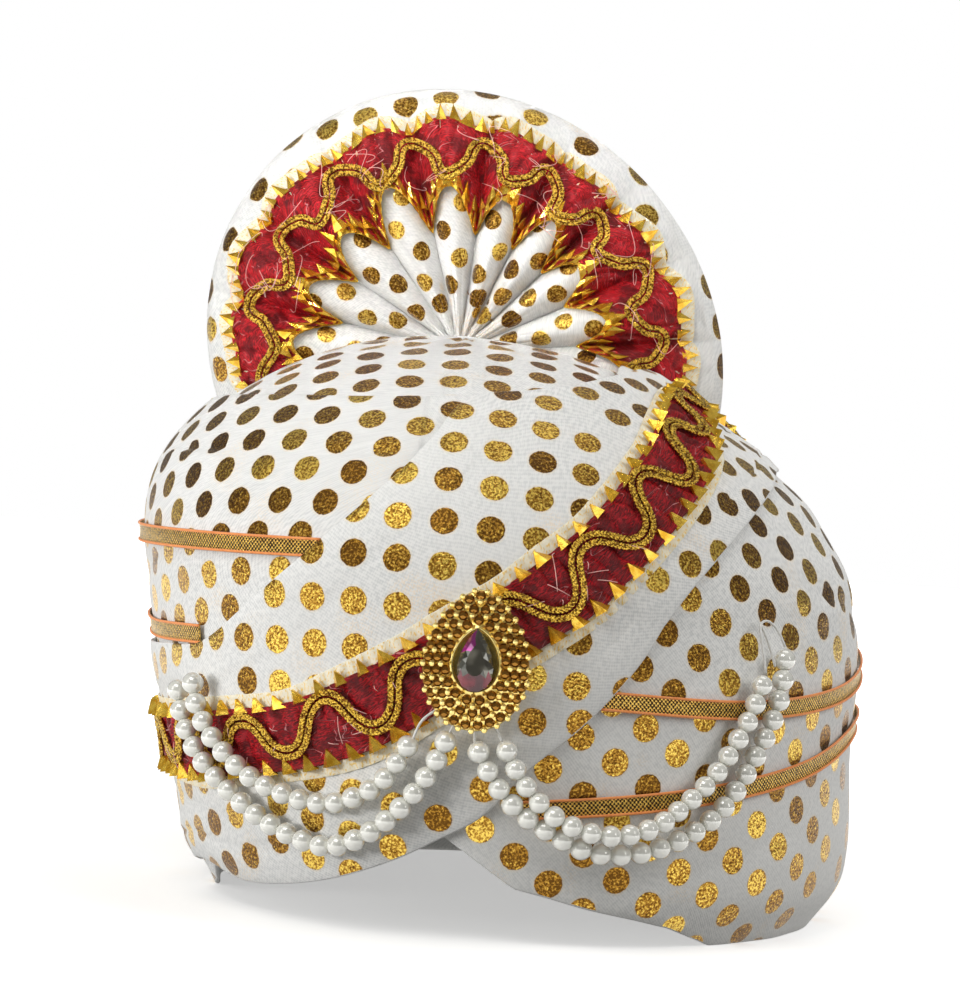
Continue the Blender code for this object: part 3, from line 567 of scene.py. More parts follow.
def dot_maps(vertices, quads, shown, corners, dots):
    """Where the shown corners lie in their nearest dot, and that dot's tone and shrinking."""
    offsets = np.full((corners, 2), FAR_FROM_DOTS)
    looks = np.zeros((corners, 2))
    if dots is None:
        return offsets, looks
    centres, right, up, tones = dots
    tree = tree_of(centres)
    faces = vertices[quads[shown]]
    nearest = np.array([tree.find(Vector(middle))[1] for middle in faces.mean(1)])
    away = faces - centres[nearest][:, None]
    flat = np.stack([(away * axis[nearest][:, None]).sum(-1) for axis in (right, up)], -1)
    reach = np.linalg.norm(away, axis=-1, keepdims=True)
    flat = flat / np.maximum(np.linalg.norm(flat, axis=-1, keepdims=True), 1e-9) * reach
    flat = flat * tones[nearest][:, None, 1:]
    corner = (shown[:, None] * 4 + np.arange(4)[None, :]).reshape(-1)
    offsets[corner] = flat.reshape(-1, 2)
    looks[corner] = np.repeat(tones[nearest], 4, axis=0)
    return offsets, looks


def cloth_solid(name, outer, thick, closed, material, dots=None, flipped=False):
    """A cloth with rounded edges from its outer face, a grid of lines across the cloth."""
    lines, across = outer.shape[:2]
    normals = grid_normals(outer, closed)
    profile = cloth_profile(outer, thick, -normals if flipped else normals)
    count = profile.shape[1]
    vertices = profile.reshape(-1, 3)
    quads = skin_quads(lines, count, closed)
    if flipped:
        quads = quads[:, ::-1]
    faces = quads.tolist()
    if not closed:
        faces += end_caps(lines, count, across, flipped)
    thing = add_mesh(name, vertices, faces, [material])
    corner = np.array([index for face in faces for index in face])
    shown = np.flatnonzero(np.tile(np.arange(count) < across + 1, len(quads) // count))
    offsets, looks = dot_maps(vertices, quads, shown, len(corner), dots)
    set_map(thing, "weave", weave_map(profile, quads, corner, closed))
    set_map(thing, "dots", offsets)
    set_map(thing, "dot_look", looks)
    return thing


def ring_quads(rings, sides, closed=False, inward=False):
    """Faces between rings of vertices, the last ring joined to the first where they close."""
    faces = []
    for ring in range(rings if closed else rings - 1):
        here = ring * sides
        there = (ring + 1) % rings * sides
        for side in range(sides):
            after = (side + 1) % sides
            near, far = (after, side) if inward else (side, after)
            faces.append((here + near, here + far, there + far, there + near))
    return faces


def tube(points, radius, sides, closed=False, up=None):
    """Vertices and faces of a round tube along points."""
    count = len(points)
    ahead = unit(steps_along(points, closed))
    out = np.tile(np.array((0.0, -1.0, 0.2)), (count, 1)) if up is None else up
    side = unit(np.cross(ahead, out))
    out = np.cross(side, ahead)
    angles = 2 * math.pi * np.arange(sides) / sides
    rings = (
        points[:, None]
        + side[:, None] * (np.cos(angles)[None, :, None] * radius)
        + out[:, None] * (np.sin(angles)[None, :, None] * radius)
    )
    faces = ring_quads(count, sides, closed)
    if not closed:
        faces.append(tuple(reversed(range(sides))))
        faces.append(tuple((count - 1) * sides + k for k in range(sides)))
    return rings.reshape(-1, 3), faces


def join_mesh(name, parts, material, smooth_faces=True):
    """One mesh out of several lists of vertices and faces."""
    vertices = []
    faces = []
    base = 0
    for part_vertices, part_faces in parts:
        vertices.append(np.asarray(part_vertices))
        faces += [tuple(index + base for index in face) for face in part_faces]
        base += len(part_vertices)
    return add_mesh(name, np.concatenate(vertices), faces, [material], smooth_faces)


def place_piece(thing, node=None):
    """Let a piece ride on the turban, standing for its CAD node where it has one."""
    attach(thing, "root")
    if node:
        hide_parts(node)


# Materials


class Nodes:
    """Short hands for building one material's nodes. A value may be a number, a colour or a socket."""

    def __init__(self, name):
        self.material = bpy.data.materials.new(name)
        self.material.use_nodes = True
        self.tree = self.material.node_tree
        self.shader = self.tree.nodes["Principled BSDF"]

    def put(self, socket, value):
        if hasattr(value, "links"):
            self.tree.links.new(value, socket)
        elif value is not None:
            socket.default_value = value

    def add(self, kind, inputs, **settings):
        node = self.tree.nodes.new(kind)
        for key, value in settings.items():
            setattr(node, key, value)
        for key, value in inputs.items():
            self.put(node.inputs[key], value)
        return node.outputs

    def math(self, operation, first, second=None):
        return self.add("ShaderNodeMath", {0: first, 1: second}, operation=operation)[0]

    def times(self, first, second):
        return self.math("MULTIPLY", first, second)

    def plus(self, first, second):
        return self.math("ADD", first, second)

    def wave(self, value, pitch):
        return self.math("SINE", self.times(value, 2 * math.pi / pitch))

    def span(self, value, low, high, to_low=0.0, to_high=1.0, interpolation="SMOOTHSTEP"):
        inputs = {0: value, 1: low, 2: high, 3: to_low, 4: to_high}
        return self.add("ShaderNodeMapRange", inputs, interpolation_type=interpolation)[0]

    def mix(self, share, first, second):
        return self.add("ShaderNodeMix", {0: share, 6: first, 7: second}, data_type="RGBA")[2]

    def map(self, name):
        return self.add("ShaderNodeUVMap", {}, uv_map=name)[0]

    def place(self):
        return self.add("ShaderNodeTexCoord", {})["Object"]

    def noise(self, vector, scale, detail=2.0, roughness=0.5):
        inputs = {"Vector": vector, "Scale": scale, "Detail": detail, "Roughness": roughness}
        return self.add("ShaderNodeTexNoise", inputs)[0]

    def stretch(self, vector, scale, rotation=0.0):
        inputs = {"Vector": vector, "Scale": scale, "Rotation": (0, 0, rotation)}
        return self.add("ShaderNodeMapping", inputs)[0]

    def length(self, vector):
        return self.add("ShaderNodeVectorMath", {0: vector}, operation="LENGTH")["Value"]

    def parts(self, vector):
        return self.add("ShaderNodeSeparateXYZ", {0: vector})

    def bump(self, height, distance, strength=1.0, normal=None):
        inputs = {"Height": height, "Distance": distance, "Strength": strength, "Normal": normal}
        return self.add("ShaderNodeBump", inputs)[0]

    def finish(self, **sockets):
        for name, value in sockets.items():
            self.put(self.shader.inputs[name.replace("_", " ")], value)
        return self.material


def rgb(red, green, blue):
    return (red, green, blue, 1.0)


def speckled(name, scale, dark, light, **sockets):
    """A material of two colours that a soft grain mixes."""
    n = Nodes(name)
    return n.finish(Base_Color=n.mix(n.noise(n.place(), scale), dark, light), **sockets)


def cloth_material():
    """White cotton muslin with grainy gold foil dots."""
    n = Nodes("dotted_muslin")
    weave = n.map("weave")
    parts = n.parts(weave)
    warp = n.wave(n.plus(parts[0], parts[1]), RIB_PITCH)
    weft = n.wave(n.math("SUBTRACT", parts[0], parts[1]), RIB_PITCH)
    threads = n.plus(n.times(n.plus(warp, n.times(weft, 0.6)), 0.10), n.noise(weave, 700))
    place = n.place()
    soft = n.span(n.noise(place, 14), 0.35, 0.7)
    grey = n.mix(n.span(threads, 0.28, 0.66), rgb(0.67, 0.68, 0.68), rgb(0.86, 0.86, 0.85))
    cloth = n.mix(n.times(soft, 0.5), grey, rgb(0.80, 0.80, 0.79))
    patches = n.span(n.noise(place, 38), 0.58, 0.72)
    peach = n.times(patches, n.span(n.noise(place, 1800, 1.0), 0.4, 0.65))
    cloth = n.mix(n.times(peach, 0.45), cloth, rgb(0.93, 0.74, 0.52))

    wobble = n.times(n.math("SUBTRACT", n.noise(place, 900), 0.5), 0.55 * MM)
    reach = n.plus(n.length(n.map("dots")), wobble)
    inside = n.span(reach, DOT_RADIUS + 0.12 * MM, DOT_RADIUS - 0.12 * MM)
    halo = n.span(reach, DOT_RADIUS + 0.9 * MM, DOT_RADIUS)
    cloth = n.mix(n.times(halo, 0.30), cloth, rgb(0.95, 0.74, 0.45))

    tone = n.parts(n.map("dot_look"))[0]
    grain = n.noise(place, 1400, 2.0, 0.6)
    spark = n.plus(grain, n.times(n.math("SUBTRACT", tone, 0.5), 0.22))
    dark = n.mix(n.span(spark, 0.36, 0.52), rgb(0.12, 0.052, 0.007), rgb(0.42, 0.21, 0.028))
    foil = n.mix(n.span(spark, 0.52, 0.66), dark, rgb(0.95, 0.68, 0.13))
    rough = n.span(inside, 0.0, 1.0, 0.88, 0.28, "LINEAR")
    surface = n.bump(n.times(grain, inside), 0.30 * MM, 0.9, n.bump(threads, 0.16 * MM, 0.6))
    return n.finish(Base_Color=n.mix(inside, cloth, foil), Metallic=n.times(inside, 0.95), Roughness=rough,
                    Normal=surface, Sheen_Weight=0.1, Specular_IOR_Level=0.3)


def lace_material(name, dark, light):
    """Crimson crinkled cloth with a fine rib and pale threads in its weave."""
    n = Nodes(name)
    weave = n.map("weave")
    place = n.place()
    ribs = n.noise(n.stretch(weave, (700, 2100, 1)), 1.0)
    red = n.mix(n.span(ribs, 0.40, 0.62), dark, light)
    # Painted highlight: lighter red patches scattered by noise, standing for light on the puffs.
    shade = n.span(n.noise(place, 260, 3.0), 0.55, 0.75)
    red = n.mix(n.times(shade, 0.6), red, rgb(0.58, 0.03, 0.045))
    # Painted shade: near-black patches scattered by noise, standing for the shade in the crinkles.
    deep = n.span(n.noise(place, 150), 0.50, 0.38)
    red = n.mix(n.times(deep, 0.7), red, rgb(0.07, 0.001, 0.003))
    streak = n.span(n.noise(n.stretch(weave, (700, 120, 1), 0.5), 1.0), 0.64, 0.70)
    red = n.mix(n.times(streak, 0.65), red, rgb(0.80, 0.35, 0.36))
    return n.finish(Base_Color=red, Roughness=0.5, Normal=n.bump(ribs, 0.40 * MM), Specular_IOR_Level=0.35)


def thread_material():
    return speckled("pink_thread", 500, rgb(0.85, 0.36, 0.36), rgb(0.95, 0.70, 0.62), Roughness=0.55)


def white_thread_material():
    return speckled("white_thread", 900, rgb(0.68, 0.68, 0.66), rgb(0.90, 0.90, 0.88), Roughness=0.6)


def gold_thread_material():
    """Gold wrapped thread, bright specks between dark patches: painted shade that stands for the gaps."""
    n = Nodes("gold_thread")
    specks = n.noise(n.place(), 1300, 2.0, 0.6)
    # The dark colour is painted shade, standing for the shaded gaps between the wraps.
    gold = n.mix(n.span(specks, 0.42, 0.56), rgb(0.20, 0.075, 0.008), rgb(1.0, 0.68, 0.10))
    return n.finish(Base_Color=gold, Metallic=0.8, Roughness=0.32, Normal=n.bump(specks, 0.45 * MM))


def foil_material():
    """Bright gold foil of the toothed edges."""
    n = Nodes("gold_foil")
    place = n.place()
    gold = n.mix(n.span(n.noise(place, 300), 0.35, 0.65), rgb(0.72, 0.38, 0.02), rgb(1.0, 0.68, 0.10))
    surface = n.bump(n.noise(place, 700), 0.25 * MM, 0.5)
    return n.finish(Base_Color=gold, Metallic=0.75, Roughness=0.25, Normal=surface)


def net_material():
    """Pale gold net that carries the teeth."""
    n = Nodes("gold_net")
    lines = n.noise(n.stretch(n.map("weave"), (1500, 900, 1)), 1.0, 1.0)
    colour = n.mix(n.span(lines, 0.50, 0.66), rgb(0.88, 0.83, 0.68), rgb(0.86, 0.62, 0.22))
    return n.finish(Base_Color=colour, Roughness=0.55, Normal=n.bump(lines, 0.15 * MM))


def ribbon_material():
    """Gold mesh ribbon woven from flat strands."""
    n = Nodes("ribbon_mesh")
    weave = n.parts(n.map("weave"))
    strand = n.times(n.wave(weave[0], 1.25 * MM), n.wave(weave[1], 1.4 * MM))
    level = n.plus(n.times(strand, 0.6), n.noise(n.place(), 900))
    gold = n.mix(n.span(level, 0.35, 0.70), rgb(0.06, 0.03, 0.01), rgb(0.95, 0.62, 0.14))
    return n.finish(Base_Color=gold, Metallic=0.8, Roughness=0.3, Normal=n.bump(level, 0.35 * MM))


def orange_material():
    return speckled("orange_edge", 700, rgb(0.80, 0.20, 0.03), rgb(1.0, 0.42, 0.14), Roughness=0.6,
                    Sheen_Weight=0.2)


def pearl_material():
    """Cream pearl coat with soft depth."""
    return speckled("pearl_coat", 120, rgb(0.80, 0.80, 0.74), rgb(0.91, 0.91, 0.86), Metallic=0.22,
                    Roughness=0.20, Coat_Weight=1.0, Coat_Roughness=0.04, Coat_IOR=1.9)


def brooch_gold_material():
    return speckled("brooch_gold", 200, rgb(0.90, 0.64, 0.16), rgb(1.0, 0.84, 0.36), Metallic=0.85,
                    Roughness=0.24)


def amber_material():
    """Dark amber metal of the studs."""
    return speckled("amber_stud", 260, rgb(0.14, 0.05, 0.008), rgb(0.46, 0.23, 0.04), Metallic=0.9,
                    Roughness=0.16)


def gem_material(name, colour, deep):
    n = Nodes(name)
    # The facet colour is a painted reflection, with soft noise between its two tones.
    shade = n.mix(n.span(n.noise(n.place(), 180, 1.0), 0.4, 0.6), colour, deep)
    return n.finish(Base_Color=shade, Metallic=0.35, Roughness=0.06, Coat_Weight=1.0, Coat_Roughness=0.02)


def floor_material():
    """Pale paper that glows brighter away from the turban."""
    n = Nodes("pale_floor")
    grain = n.noise(n.place(), 60)
    colour = n.mix(grain, rgb(0.88, 0.88, 0.88), rgb(0.91, 0.91, 0.91))
    glow = n.span(n.length(n.place()), 0.12, 0.55, 0.42, 1.02)
    return n.finish(Base_Color=colour, Roughness=0.9, Normal=n.bump(grain, 0.1 * MM, 0.1),
                    Specular_IOR_Level=0.1, Emission_Color=rgb(1.0, 1.0, 1.0), Emission_Strength=glow)


# Dots


def make_dots(centres, right, up, seed, shrink=1.0):
    """Centres with their own directions, and a tone and a shrinking for each dot."""
    rng = np.random.default_rng(seed)
    right = unit(right)
    normal = unit(np.cross(right, up))
    up = np.cross(normal, right)
    tones = rng.random((len(centres), 2))
    tones[:, 1] = shrink
    return centres, right, up, tones


def lay_fields(fields, points, normals, seed, kept=None):
    """Dots of several flat fields laid on a surface, leaving out those too near others."""
    points = points.reshape(-1, 3)
    normals = normals.reshape(-1, 3)
    centres = []
    rights = []
    ups = []
    for turn, climb, reach, *numbers in fields:
        first_across, first_up, second_across, second_up, start_across, start_up = np.array(numbers) * MM
        origin, right, upward, out = surface_axes(turn, climb)
        away = points - origin
        straight = np.linalg.norm(away, axis=1)
        flat = np.stack((away @ right, away @ upward), 1)
        length = 2 * CLOTH_BEND * np.arcsin(np.clip(straight / (2 * CLOTH_BEND), 0, 1))
        flat = flat * (length / np.maximum(np.linalg.norm(flat, axis=1), 1e-9))[:, None]
        near = np.flatnonzero((length < reach * MM + 6 * MM) & (normals @ out > -0.2))
        if not len(near):
            continue
        tree = tree_of([(*flat[index], 0) for index in near])
        grid = math.ceil(reach / 9)
        for row in range(-grid, grid + 1):
            for column in range(-grid, grid + 1):
                x = start_across + row * second_across + column * first_across
                y = start_up + row * second_up + column * first_up
                if math.hypot(x, y) > reach * MM:
                    continue
                _, found, gap = tree.find((x, y, 0))
                if gap > DOT_OFF_CLOTH:
                    continue
                index = near[found]
                normal = normals[index]
                local_right = unit(right - normal * (right @ normal))
                local_up = np.cross(normal, local_right)
                centre = points[index] + local_right * (x - flat[index, 0]) + local_up * (y - flat[index, 1])
                if kept is not None and not kept(centre):
                    continue
                if centres and np.linalg.norm(np.array(centres) - centre, axis=1).min() < DOT_KEEP_APART:
                    continue
                centres.append(centre)
                rights.append(local_right)
                ups.append(local_up)
    return make_dots(np.array(centres), np.array(rights), np.array(ups), seed)


def join_dots(*sets):
    return tuple(np.concatenate(columns) for columns in zip(*sets))


def near_place(point):
    """Turn and rough climb of a point on the wound wall."""
    turn = math.degrees(math.atan2(point[0], -point[1]))
    climbs = np.linspace(0, 0.99, 200)
    climb = float(np.interp(point[2], body(0, climbs)[:, 2], climbs))
    return turn, climb


def sash_middle(turn):
    """Climb of the sash's middle at a turn."""
    stations = np.linspace(0, 1, 721)
    turns, climbs = band_place(SASH_ROWS, stations, 0.5)
    order = np.argsort(around(turns))
    return np.interp(around(turn), around(turns)[order], climbs[order])


# Cloth pieces


def crease(turn, climb, start, end, depth, width, reach):
    """Height of a pressed fold line between two places, in metres."""
    scale = np.array((DEGREE_LENGTH, CLIMB_LENGTH))
    place = np.stack(np.broadcast_arrays(around(turn), climb), -1) * scale
    start = np.array(start, float) * scale
    line = np.array(end, float) * scale - start
    away = place - start
    share = (away @ line) / (line @ line)
    near = start + np.clip(share, 0, 1)[..., None] * line
    side = line[0] * away[..., 1] - line[1] * away[..., 0]
    distance = np.linalg.norm(place - near, axis=-1)
    ends = smooth(-0.02, 0.12, share) * smooth(1.02, 0.88, share)
    groove = -depth * np.exp(-(distance / width) ** 2)
    step = depth * 0.8 * np.exp(-(distance / reach) ** 2) * (side < 0)
    return (groove + step) * ends


def make_wrap(material):
    """The wall of wound cloth, with its pressed folds and dots that change slant under the sash."""
    columns = 300
    rows = 74
    turns = WRAP_FIRST_TURN + 360 * np.arange(columns)[:, None] / columns
    low = rim_climb(turns)
    high = fold_climb(turns)
    share = np.linspace(0, 1, rows + 1)[None, :]
    climbs = low + (high - low) * share
    points = body(turns, climbs)
    relief = 0.5 * MM * ripple(points, 22, 3.1) - 0.35 * MM
    for start, end, depth, width, reach in WRAP_CREASES:
        relief = relief + crease(turns, climbs, start, end, depth * MM, width * MM, reach * MM)
    hem = np.exp(-((climbs - low) / 0.012) ** 2)
    relief = relief + 0.5 * MM * hem * (0.6 + 0.4 * np.sin(np.radians(turns * 24)))
    relief = np.clip(relief, -1.4 * MM, 0.7 * MM)
    outer = points + body_normal(turns, climbs) * relief[..., None]
    outer[:, :, 2] = np.maximum(outer[:, :, 2], 0.0003)
    normals = grid_normals(outer, True)

    def above(centre):
        turn, climb = near_place(centre)
        return climb > sash_middle(turn)

    upper = lay_fields(WRAP_UPPER_DOTS, outer, normals, 11, above)
    lower = lay_fields(WRAP_LOWER_DOTS, outer, normals, 12, lambda centre: not above(centre))
    thing = cloth_solid("cloth_wrap", outer, WRAP_CLOTH, True, material, join_dots(upper, lower))
    place_piece(thing, "side_wrap")


def make_crown(material):
    """The cap's cloth over the top of the head, gathered a little towards the fan."""
    columns = 180
    rows = 40
    turns = 360 * np.arange(columns)[:, None] / columns
    climbs = np.linspace(CROWN_FOOT_CLIMB, 0.992, rows)[None, :]
    points = body(turns, climbs)
    gather = 0.5 * MM * np.sin(np.radians(turns * 14)) * smooth(0.6, 0.95, climbs)
    relief = -CROWN_DROP + 0.3 * MM * ripple(points, 30, 7.7) + gather * 0.6
    outer = points + body_normal(turns, climbs) * relief[..., None]
    dots = lay_fields(CROWN_DOTS, outer, grid_normals(outer, True), 13)
    thing = cloth_solid("cloth_crown", outer, CROWN_CLOTH, True, material, dots)
    place_piece(thing, "crown")


def make_crown_button(material):
    """The round of cloth that closes the cap's top."""
    rings = 180
    turns = np.degrees(2 * math.pi * np.arange(rings) / rings)
    top = body(0, 1.0) + np.array((0, 0, -CROWN_DROP))
    rim = body(turns, 0.99) + body_normal(turns, 0.99) * -(CROWN_DROP - 0.5 * MM)
    vertices = [top + np.array((0, 0, 0.6 * MM))] + list(rim) + [top - np.array((0, 0, 1.6 * MM))]
    vertices += list(rim - np.array((0, 0, 2.0 * MM)))
    faces = []
    base = rings + 2
    for step in range(rings):
        after = (step + 1) % rings
        faces.append((0, 1 + step, 1 + after))
        faces.append((rings + 1, base + after, base + step))
        faces.append((1 + step, base + step, base + after, 1 + after))
    thing = add_mesh("crown_button", vertices, faces, [material])
    corner = np.array([index for face in faces for index in face])
    set_map(thing, "weave", np.array(vertices)[corner, :2])
    set_map(thing, "dots", np.full((len(corner), 2), FAR_FROM_DOTS))
    set_map(thing, "dot_look", np.zeros((len(corner), 2)))
    place_piece(thing)


def make_sash(material):
    """The folded cloth that slants over the front of the wall."""
    stations = 320
    strips = 44
    shares = np.linspace(0, 1, strips + 1)
    edge = np.minimum(shares, 1 - shares) * 60 * MM
    profile = SASH_EDGE + (SASH_FACE - SASH_EDGE) * smooth(0, 5 * MM, edge)
    station, turn, climb = band_grid(SASH_ROWS, stations, shares)
    points = body(turn, climb)
    out = np.broadcast_to(profile[None, :], turn.shape).copy()
    out += 0.25 * MM * ripple(points, 30, 9.3)
    for where, depth, width, wave in SASH_FOLDS:
        middle = where + wave * np.sin(station * 2 * math.pi * 5 + where * 20)
        line = np.exp(-((shares[None, :] - middle) / width) ** 2)
        step = 0.8 * np.exp(-np.maximum(shares[None, :] - middle, 0) / 0.05) * (shares[None, :] > middle)
        out += depth * MM * (step - line)
    out = np.clip(out, 1.85 * MM, 3.0 * MM)
    outer = points + body_normal(turn, climb) * out[..., None]
    dots = lay_fields(SASH_DOTS, outer, grid_normals(outer, True), 21)
    thing = cloth_solid("cloth_sash", outer, SASH_CLOTH, True, material, dots)
    place_piece(thing, "sash")


def crinkle(along, across, seed):
    """Height from 0 to 1 of quilted lace: rows of uneven puffs with sharp valleys between them."""
    place = np.stack((along * 90, across * 90, np.full(along.shape, seed)), -1)
    drift = 2.2 * ripple(place, 1.0, 0.0)
    rows = np.abs(np.sin(math.pi * (along / PUFF_LENGTH + 0.35 * across / PUFF_WIDTH) + drift)) ** 0.55
    columns = np.abs(np.sin(math.pi * across / PUFF_WIDTH + 0.6 * drift)) ** 0.45
    fine = ripple(np.stack((along * 900, across * 420, np.full(along.shape, seed)), -1), 1.0, 5.0)
    return rows * (0.45 + 0.55 * columns) + 0.16 * fine


def make_lace(material):
    """The crinkled red band on the sash."""
    stations = 1100
    strips = 26
    shares = np.linspace(LACE_LOW, LACE_HIGH, strips + 1)
    station, turn, climb = band_grid(LACE_ROWS, stations, shares)
    points = body(turn, climb)
    along = arc(points[:, strips // 2])[:, None] + 0 * turn
    across = (shares[None, :] - 0.5) * 22 * MM + 0 * turn
    heights = crinkle(along, across, 2.0)
    blend_in = smooth(0, 0.01, np.minimum(station, 1 - station))
    out = LACE_OUT + PUFF_HEIGHT * np.clip(heights, 0, 1.2) * blend_in
    outer = points + body_normal(turn, climb) * out[..., None]
    thing = cloth_solid("red_lace_band", outer, LACE_CLOTH, True, material)
    place_piece(thing, "lace_band")


def folded_tooth(start, end, tip, out, height):
    """A folded foil tooth: a three-sided pyramid from its wide end to its tip."""
    ridge = (start + end) / 2 + out * height
    crest = tip + out * (0.35 * height)
    low = out * (0.25 * MM)
    vertices = [start, end, ridge, crest, tip, start + low, end + low]
    faces = [(5, 2, 3), (2, 6, 3), (5, 6, 2), (5, 3, 4, 0), (3, 6, 1, 4), (0, 1, 6, 5), (0, 4, 1)]
    return vertices, faces


def make_band_teeth(foil, net):
    """Gold teeth along both edges of the lace, on a pale net."""
    stations = np.linspace(0, 1, 2001)
    parts = []
    rng = np.random.default_rng(31)
    for root_share, tip_share in ((0.055, 0.255), (0.835, 1.01)):
        turn, climb = band_place(LACE_ROWS, stations, root_share)
        lengths = arc(body(turn, climb))
        count = round(lengths[-1] / TOOTH_PITCH)
        for tooth in range(count):
            places = []
            jitter = 0.16 * (rng.random(3) - 0.5)
            corners = ((0.10, root_share, 3.9), (0.82, root_share, 3.9), (0.40, tip_share, 4.3))
            for (step, share, lift), moved in zip(corners, jitter):
                length = (tooth + (step + moved)) / count * lengths[-1]
                at = float(np.interp(length, lengths, stations))
                places.append(off_body(*band_place(LACE_ROWS, np.array(at), share), np.array(lift * MM)))
            out = body_normal(*band_place(LACE_ROWS, np.array(at), root_share))
            parts.append(folded_tooth(*places, out, (3.0 + 0.8 * rng.random()) * MM))
    place_piece(join_mesh("lace_teeth", parts, foil, smooth_faces=False))
    for edge, (low, high) in enumerate(((-0.05, 0.12), (0.87, 1.05))):
        station, turn, climb = band_grid(LACE_ROWS, 700, np.linspace(low, high, 6))
        wave = 0.2 * MM * np.sin(2 * math.pi * count * station) + 0 * turn
        grid = off_body(turn, climb, 3.05 * MM + wave)
        thing = cloth_solid(f"lace_net_{edge}", grid, NET_CLOTH, True, net)
        place_piece(thing)


def plait(points, out, period, swing, strand, closed):
    """Three strands plaited along points, as vertices and faces."""
    base = np.vstack((points, points[:1])) if closed else points
    outs = np.vstack((out, out[:1])) if closed else out
    lengths = arc(base)
    total = lengths[-1]
    turns = max(1, round(total / period))
    steps = turns * 7
    at = np.arange(steps) / steps * total if closed else np.linspace(0, total, steps + 1)
    middle = at_lengths(at, lengths, base)
    away = unit(at_lengths(at, lengths, outs))
    side = unit(np.cross(away, unit(steps_along(middle, closed))))
    parts = []
    for third in range(3):
        phase = 2 * math.pi * (at / total * turns + third / 3)
        line = middle + side * (swing * np.sin(phase))[:, None]
        line = line + away * (strand * 0.75 * np.sin(2 * phase))[:, None]
        parts.append(tube(line, strand, 5, closed, up=away))
    return parts


def twin_chain(points, out, closed, size):
    """Two plaited chains side by side along a path."""
    side = unit(np.cross(out, unit(steps_along(points, closed))))
    parts = []
    for way in (-1, 1):
        line = points + side * (way * CHAIN_APART * size)
        parts += plait(line, out, CHAIN_PERIOD * size, CHAIN_SWING * size, CHAIN_STRAND * size, closed)
    return parts


def make_band_braid(material):
    """The gold zigzag on the lace band."""
    fine = np.arange(3000) / 3000
    turn, climb = band_place(LACE_ROWS, fine, 0.5)
    lengths = arc(body(turn, climb))
    waves = round(lengths[-1] / BRAID_PERIOD)
    phase = 2 * math.pi * waves * (lengths - BRAID_CREST) / lengths[-1]
    share = 0.53 + BRAID_SWING * np.cos(phase) * (1 + 0.12 * np.sin(phase * 0.5 + 1))
    turn, climb = band_place(LACE_ROWS, fine + 0.0018 * np.sin(2 * phase), share)
    points = off_body(turn, climb, np.full(turn.shape, BRAID_FACE))
    parts = twin_chain(points, body_normal(turn, climb), True, BAND_CHAIN_SIZE)
    place_piece(join_mesh("gold_braid_band", parts, material), "lace_braid")


# Fan


def pleat_profile(angle):
    """Pleat share of each angle, 1 on a rounded ridge and 0 in a sharp valley, and its count of pleats."""
    valleys = [FAN_FIRST_ANGLE]
    valleys += [(a + b) / 2 for a, b in zip(PLEAT_RIDGES, PLEAT_RIDGES[1:])]
    valleys.append(FAN_LAST_ANGLE)
    keys = [valleys[0]]
    phases = [0.0]
    for index, ridge in enumerate(PLEAT_RIDGES):
        keys += [ridge, valleys[index + 1]]
        phases += [index + 0.5, index + 1.0]
    phase = np.interp(angle, keys, phases)
    return np.abs(np.sin(math.pi * phase)) ** 0.62, phase


def fan_lean(angle):
    """How much farther out the fan reaches towards its upper left than its upper right."""
    return 1 - 0.045 * np.sin(np.radians(2 * angle))


def fan_point(angle, pleat, reach, forward=0.0):
    """Points of the fan: reach is 0 at its middle and 1 at its rim, forward lies in front of its cloth."""
    depth_share, back, tilt = [np.interp(reach, FAN_ROWS[:, 0], FAN_ROWS[:, column]) for column in (1, 2, 3)]
    back = back * MM
    tilt = np.radians(tilt)
    turn = np.radians(angle)
    push = forward * np.sin(tilt)
    return np.stack((
        FAN_CENTRE[0] + (FAN_HALF_WIDTH * reach * fan_lean(angle) + push) * np.cos(turn),
        FAN_CENTRE[1] + back - FAN_PLEAT_DEPTH * depth_share * pleat - forward * np.cos(tilt),
        FAN_CENTRE[2] + (FAN_RISE * reach * fan_lean(angle) + push) * np.sin(turn),
    ), -1)


def over_dome(point):
    """How far points over the crown are from its face, outside positive."""
    shoulder = WALL_ROWS[-1]

    def level(place):
        rise = ((place[..., 2] - SHIFT[2]) / CROWN_HEIGHT - shoulder[0]) / (1 - shoulder[0])
        shift = (shoulder[2] + (APEX_SHIFT - shoulder[2]) * rise) * BODY_WIDTH / 2 + SHIFT[0]
        across = (place[..., 0] - shift) / (shoulder[1] * BODY_WIDTH / 2)
        deep = (place[..., 1] - SHIFT[1]) / (shoulder[3] * BODY_DEPTH / 2)
        return np.sqrt(across ** 2 + deep ** 2 + rise ** 2) - 1

    step = 0.1 * MM
    slope = np.stack([(level(point + np.eye(3)[axis] * step) - level(point)) / step for axis in range(3)], -1)
    return level(point) / np.linalg.norm(slope, axis=-1)


def fan_foot(angle, pleat):
    """Share of the radius where the fan's cloth begins, just clear of the turban's top."""
    fold_height = body(180, fold_climb(180))[2]
    reaches = np.arange(FAN_FOOT_START / FAN_HALF_WIDTH, 0.90, 0.005)
    clear = np.ones(reaches.shape, bool)
    for forward in (0.0, -FAN_THICK):
        points = fan_point(angle, pleat, reaches, forward)
        sunk = np.where(points[:, 2] > fold_height + FOLD_CLEARANCE, CROWN_DROP, 0.0)
        clear &= over_dome(points) > FAN_FOOT_GAP - sunk
    found = np.flatnonzero(clear)
    return reaches[found[0]] if len(found) else 0.9


def push_forward(grid, push):
    """Move the fan's points towards the front."""
    return grid + np.stack((0 * push, -push, 0 * push), -1)


def fan_angles():
    return np.linspace(FAN_LAST_ANGLE, FAN_FIRST_ANGLE, FAN_COLUMNS + 1)


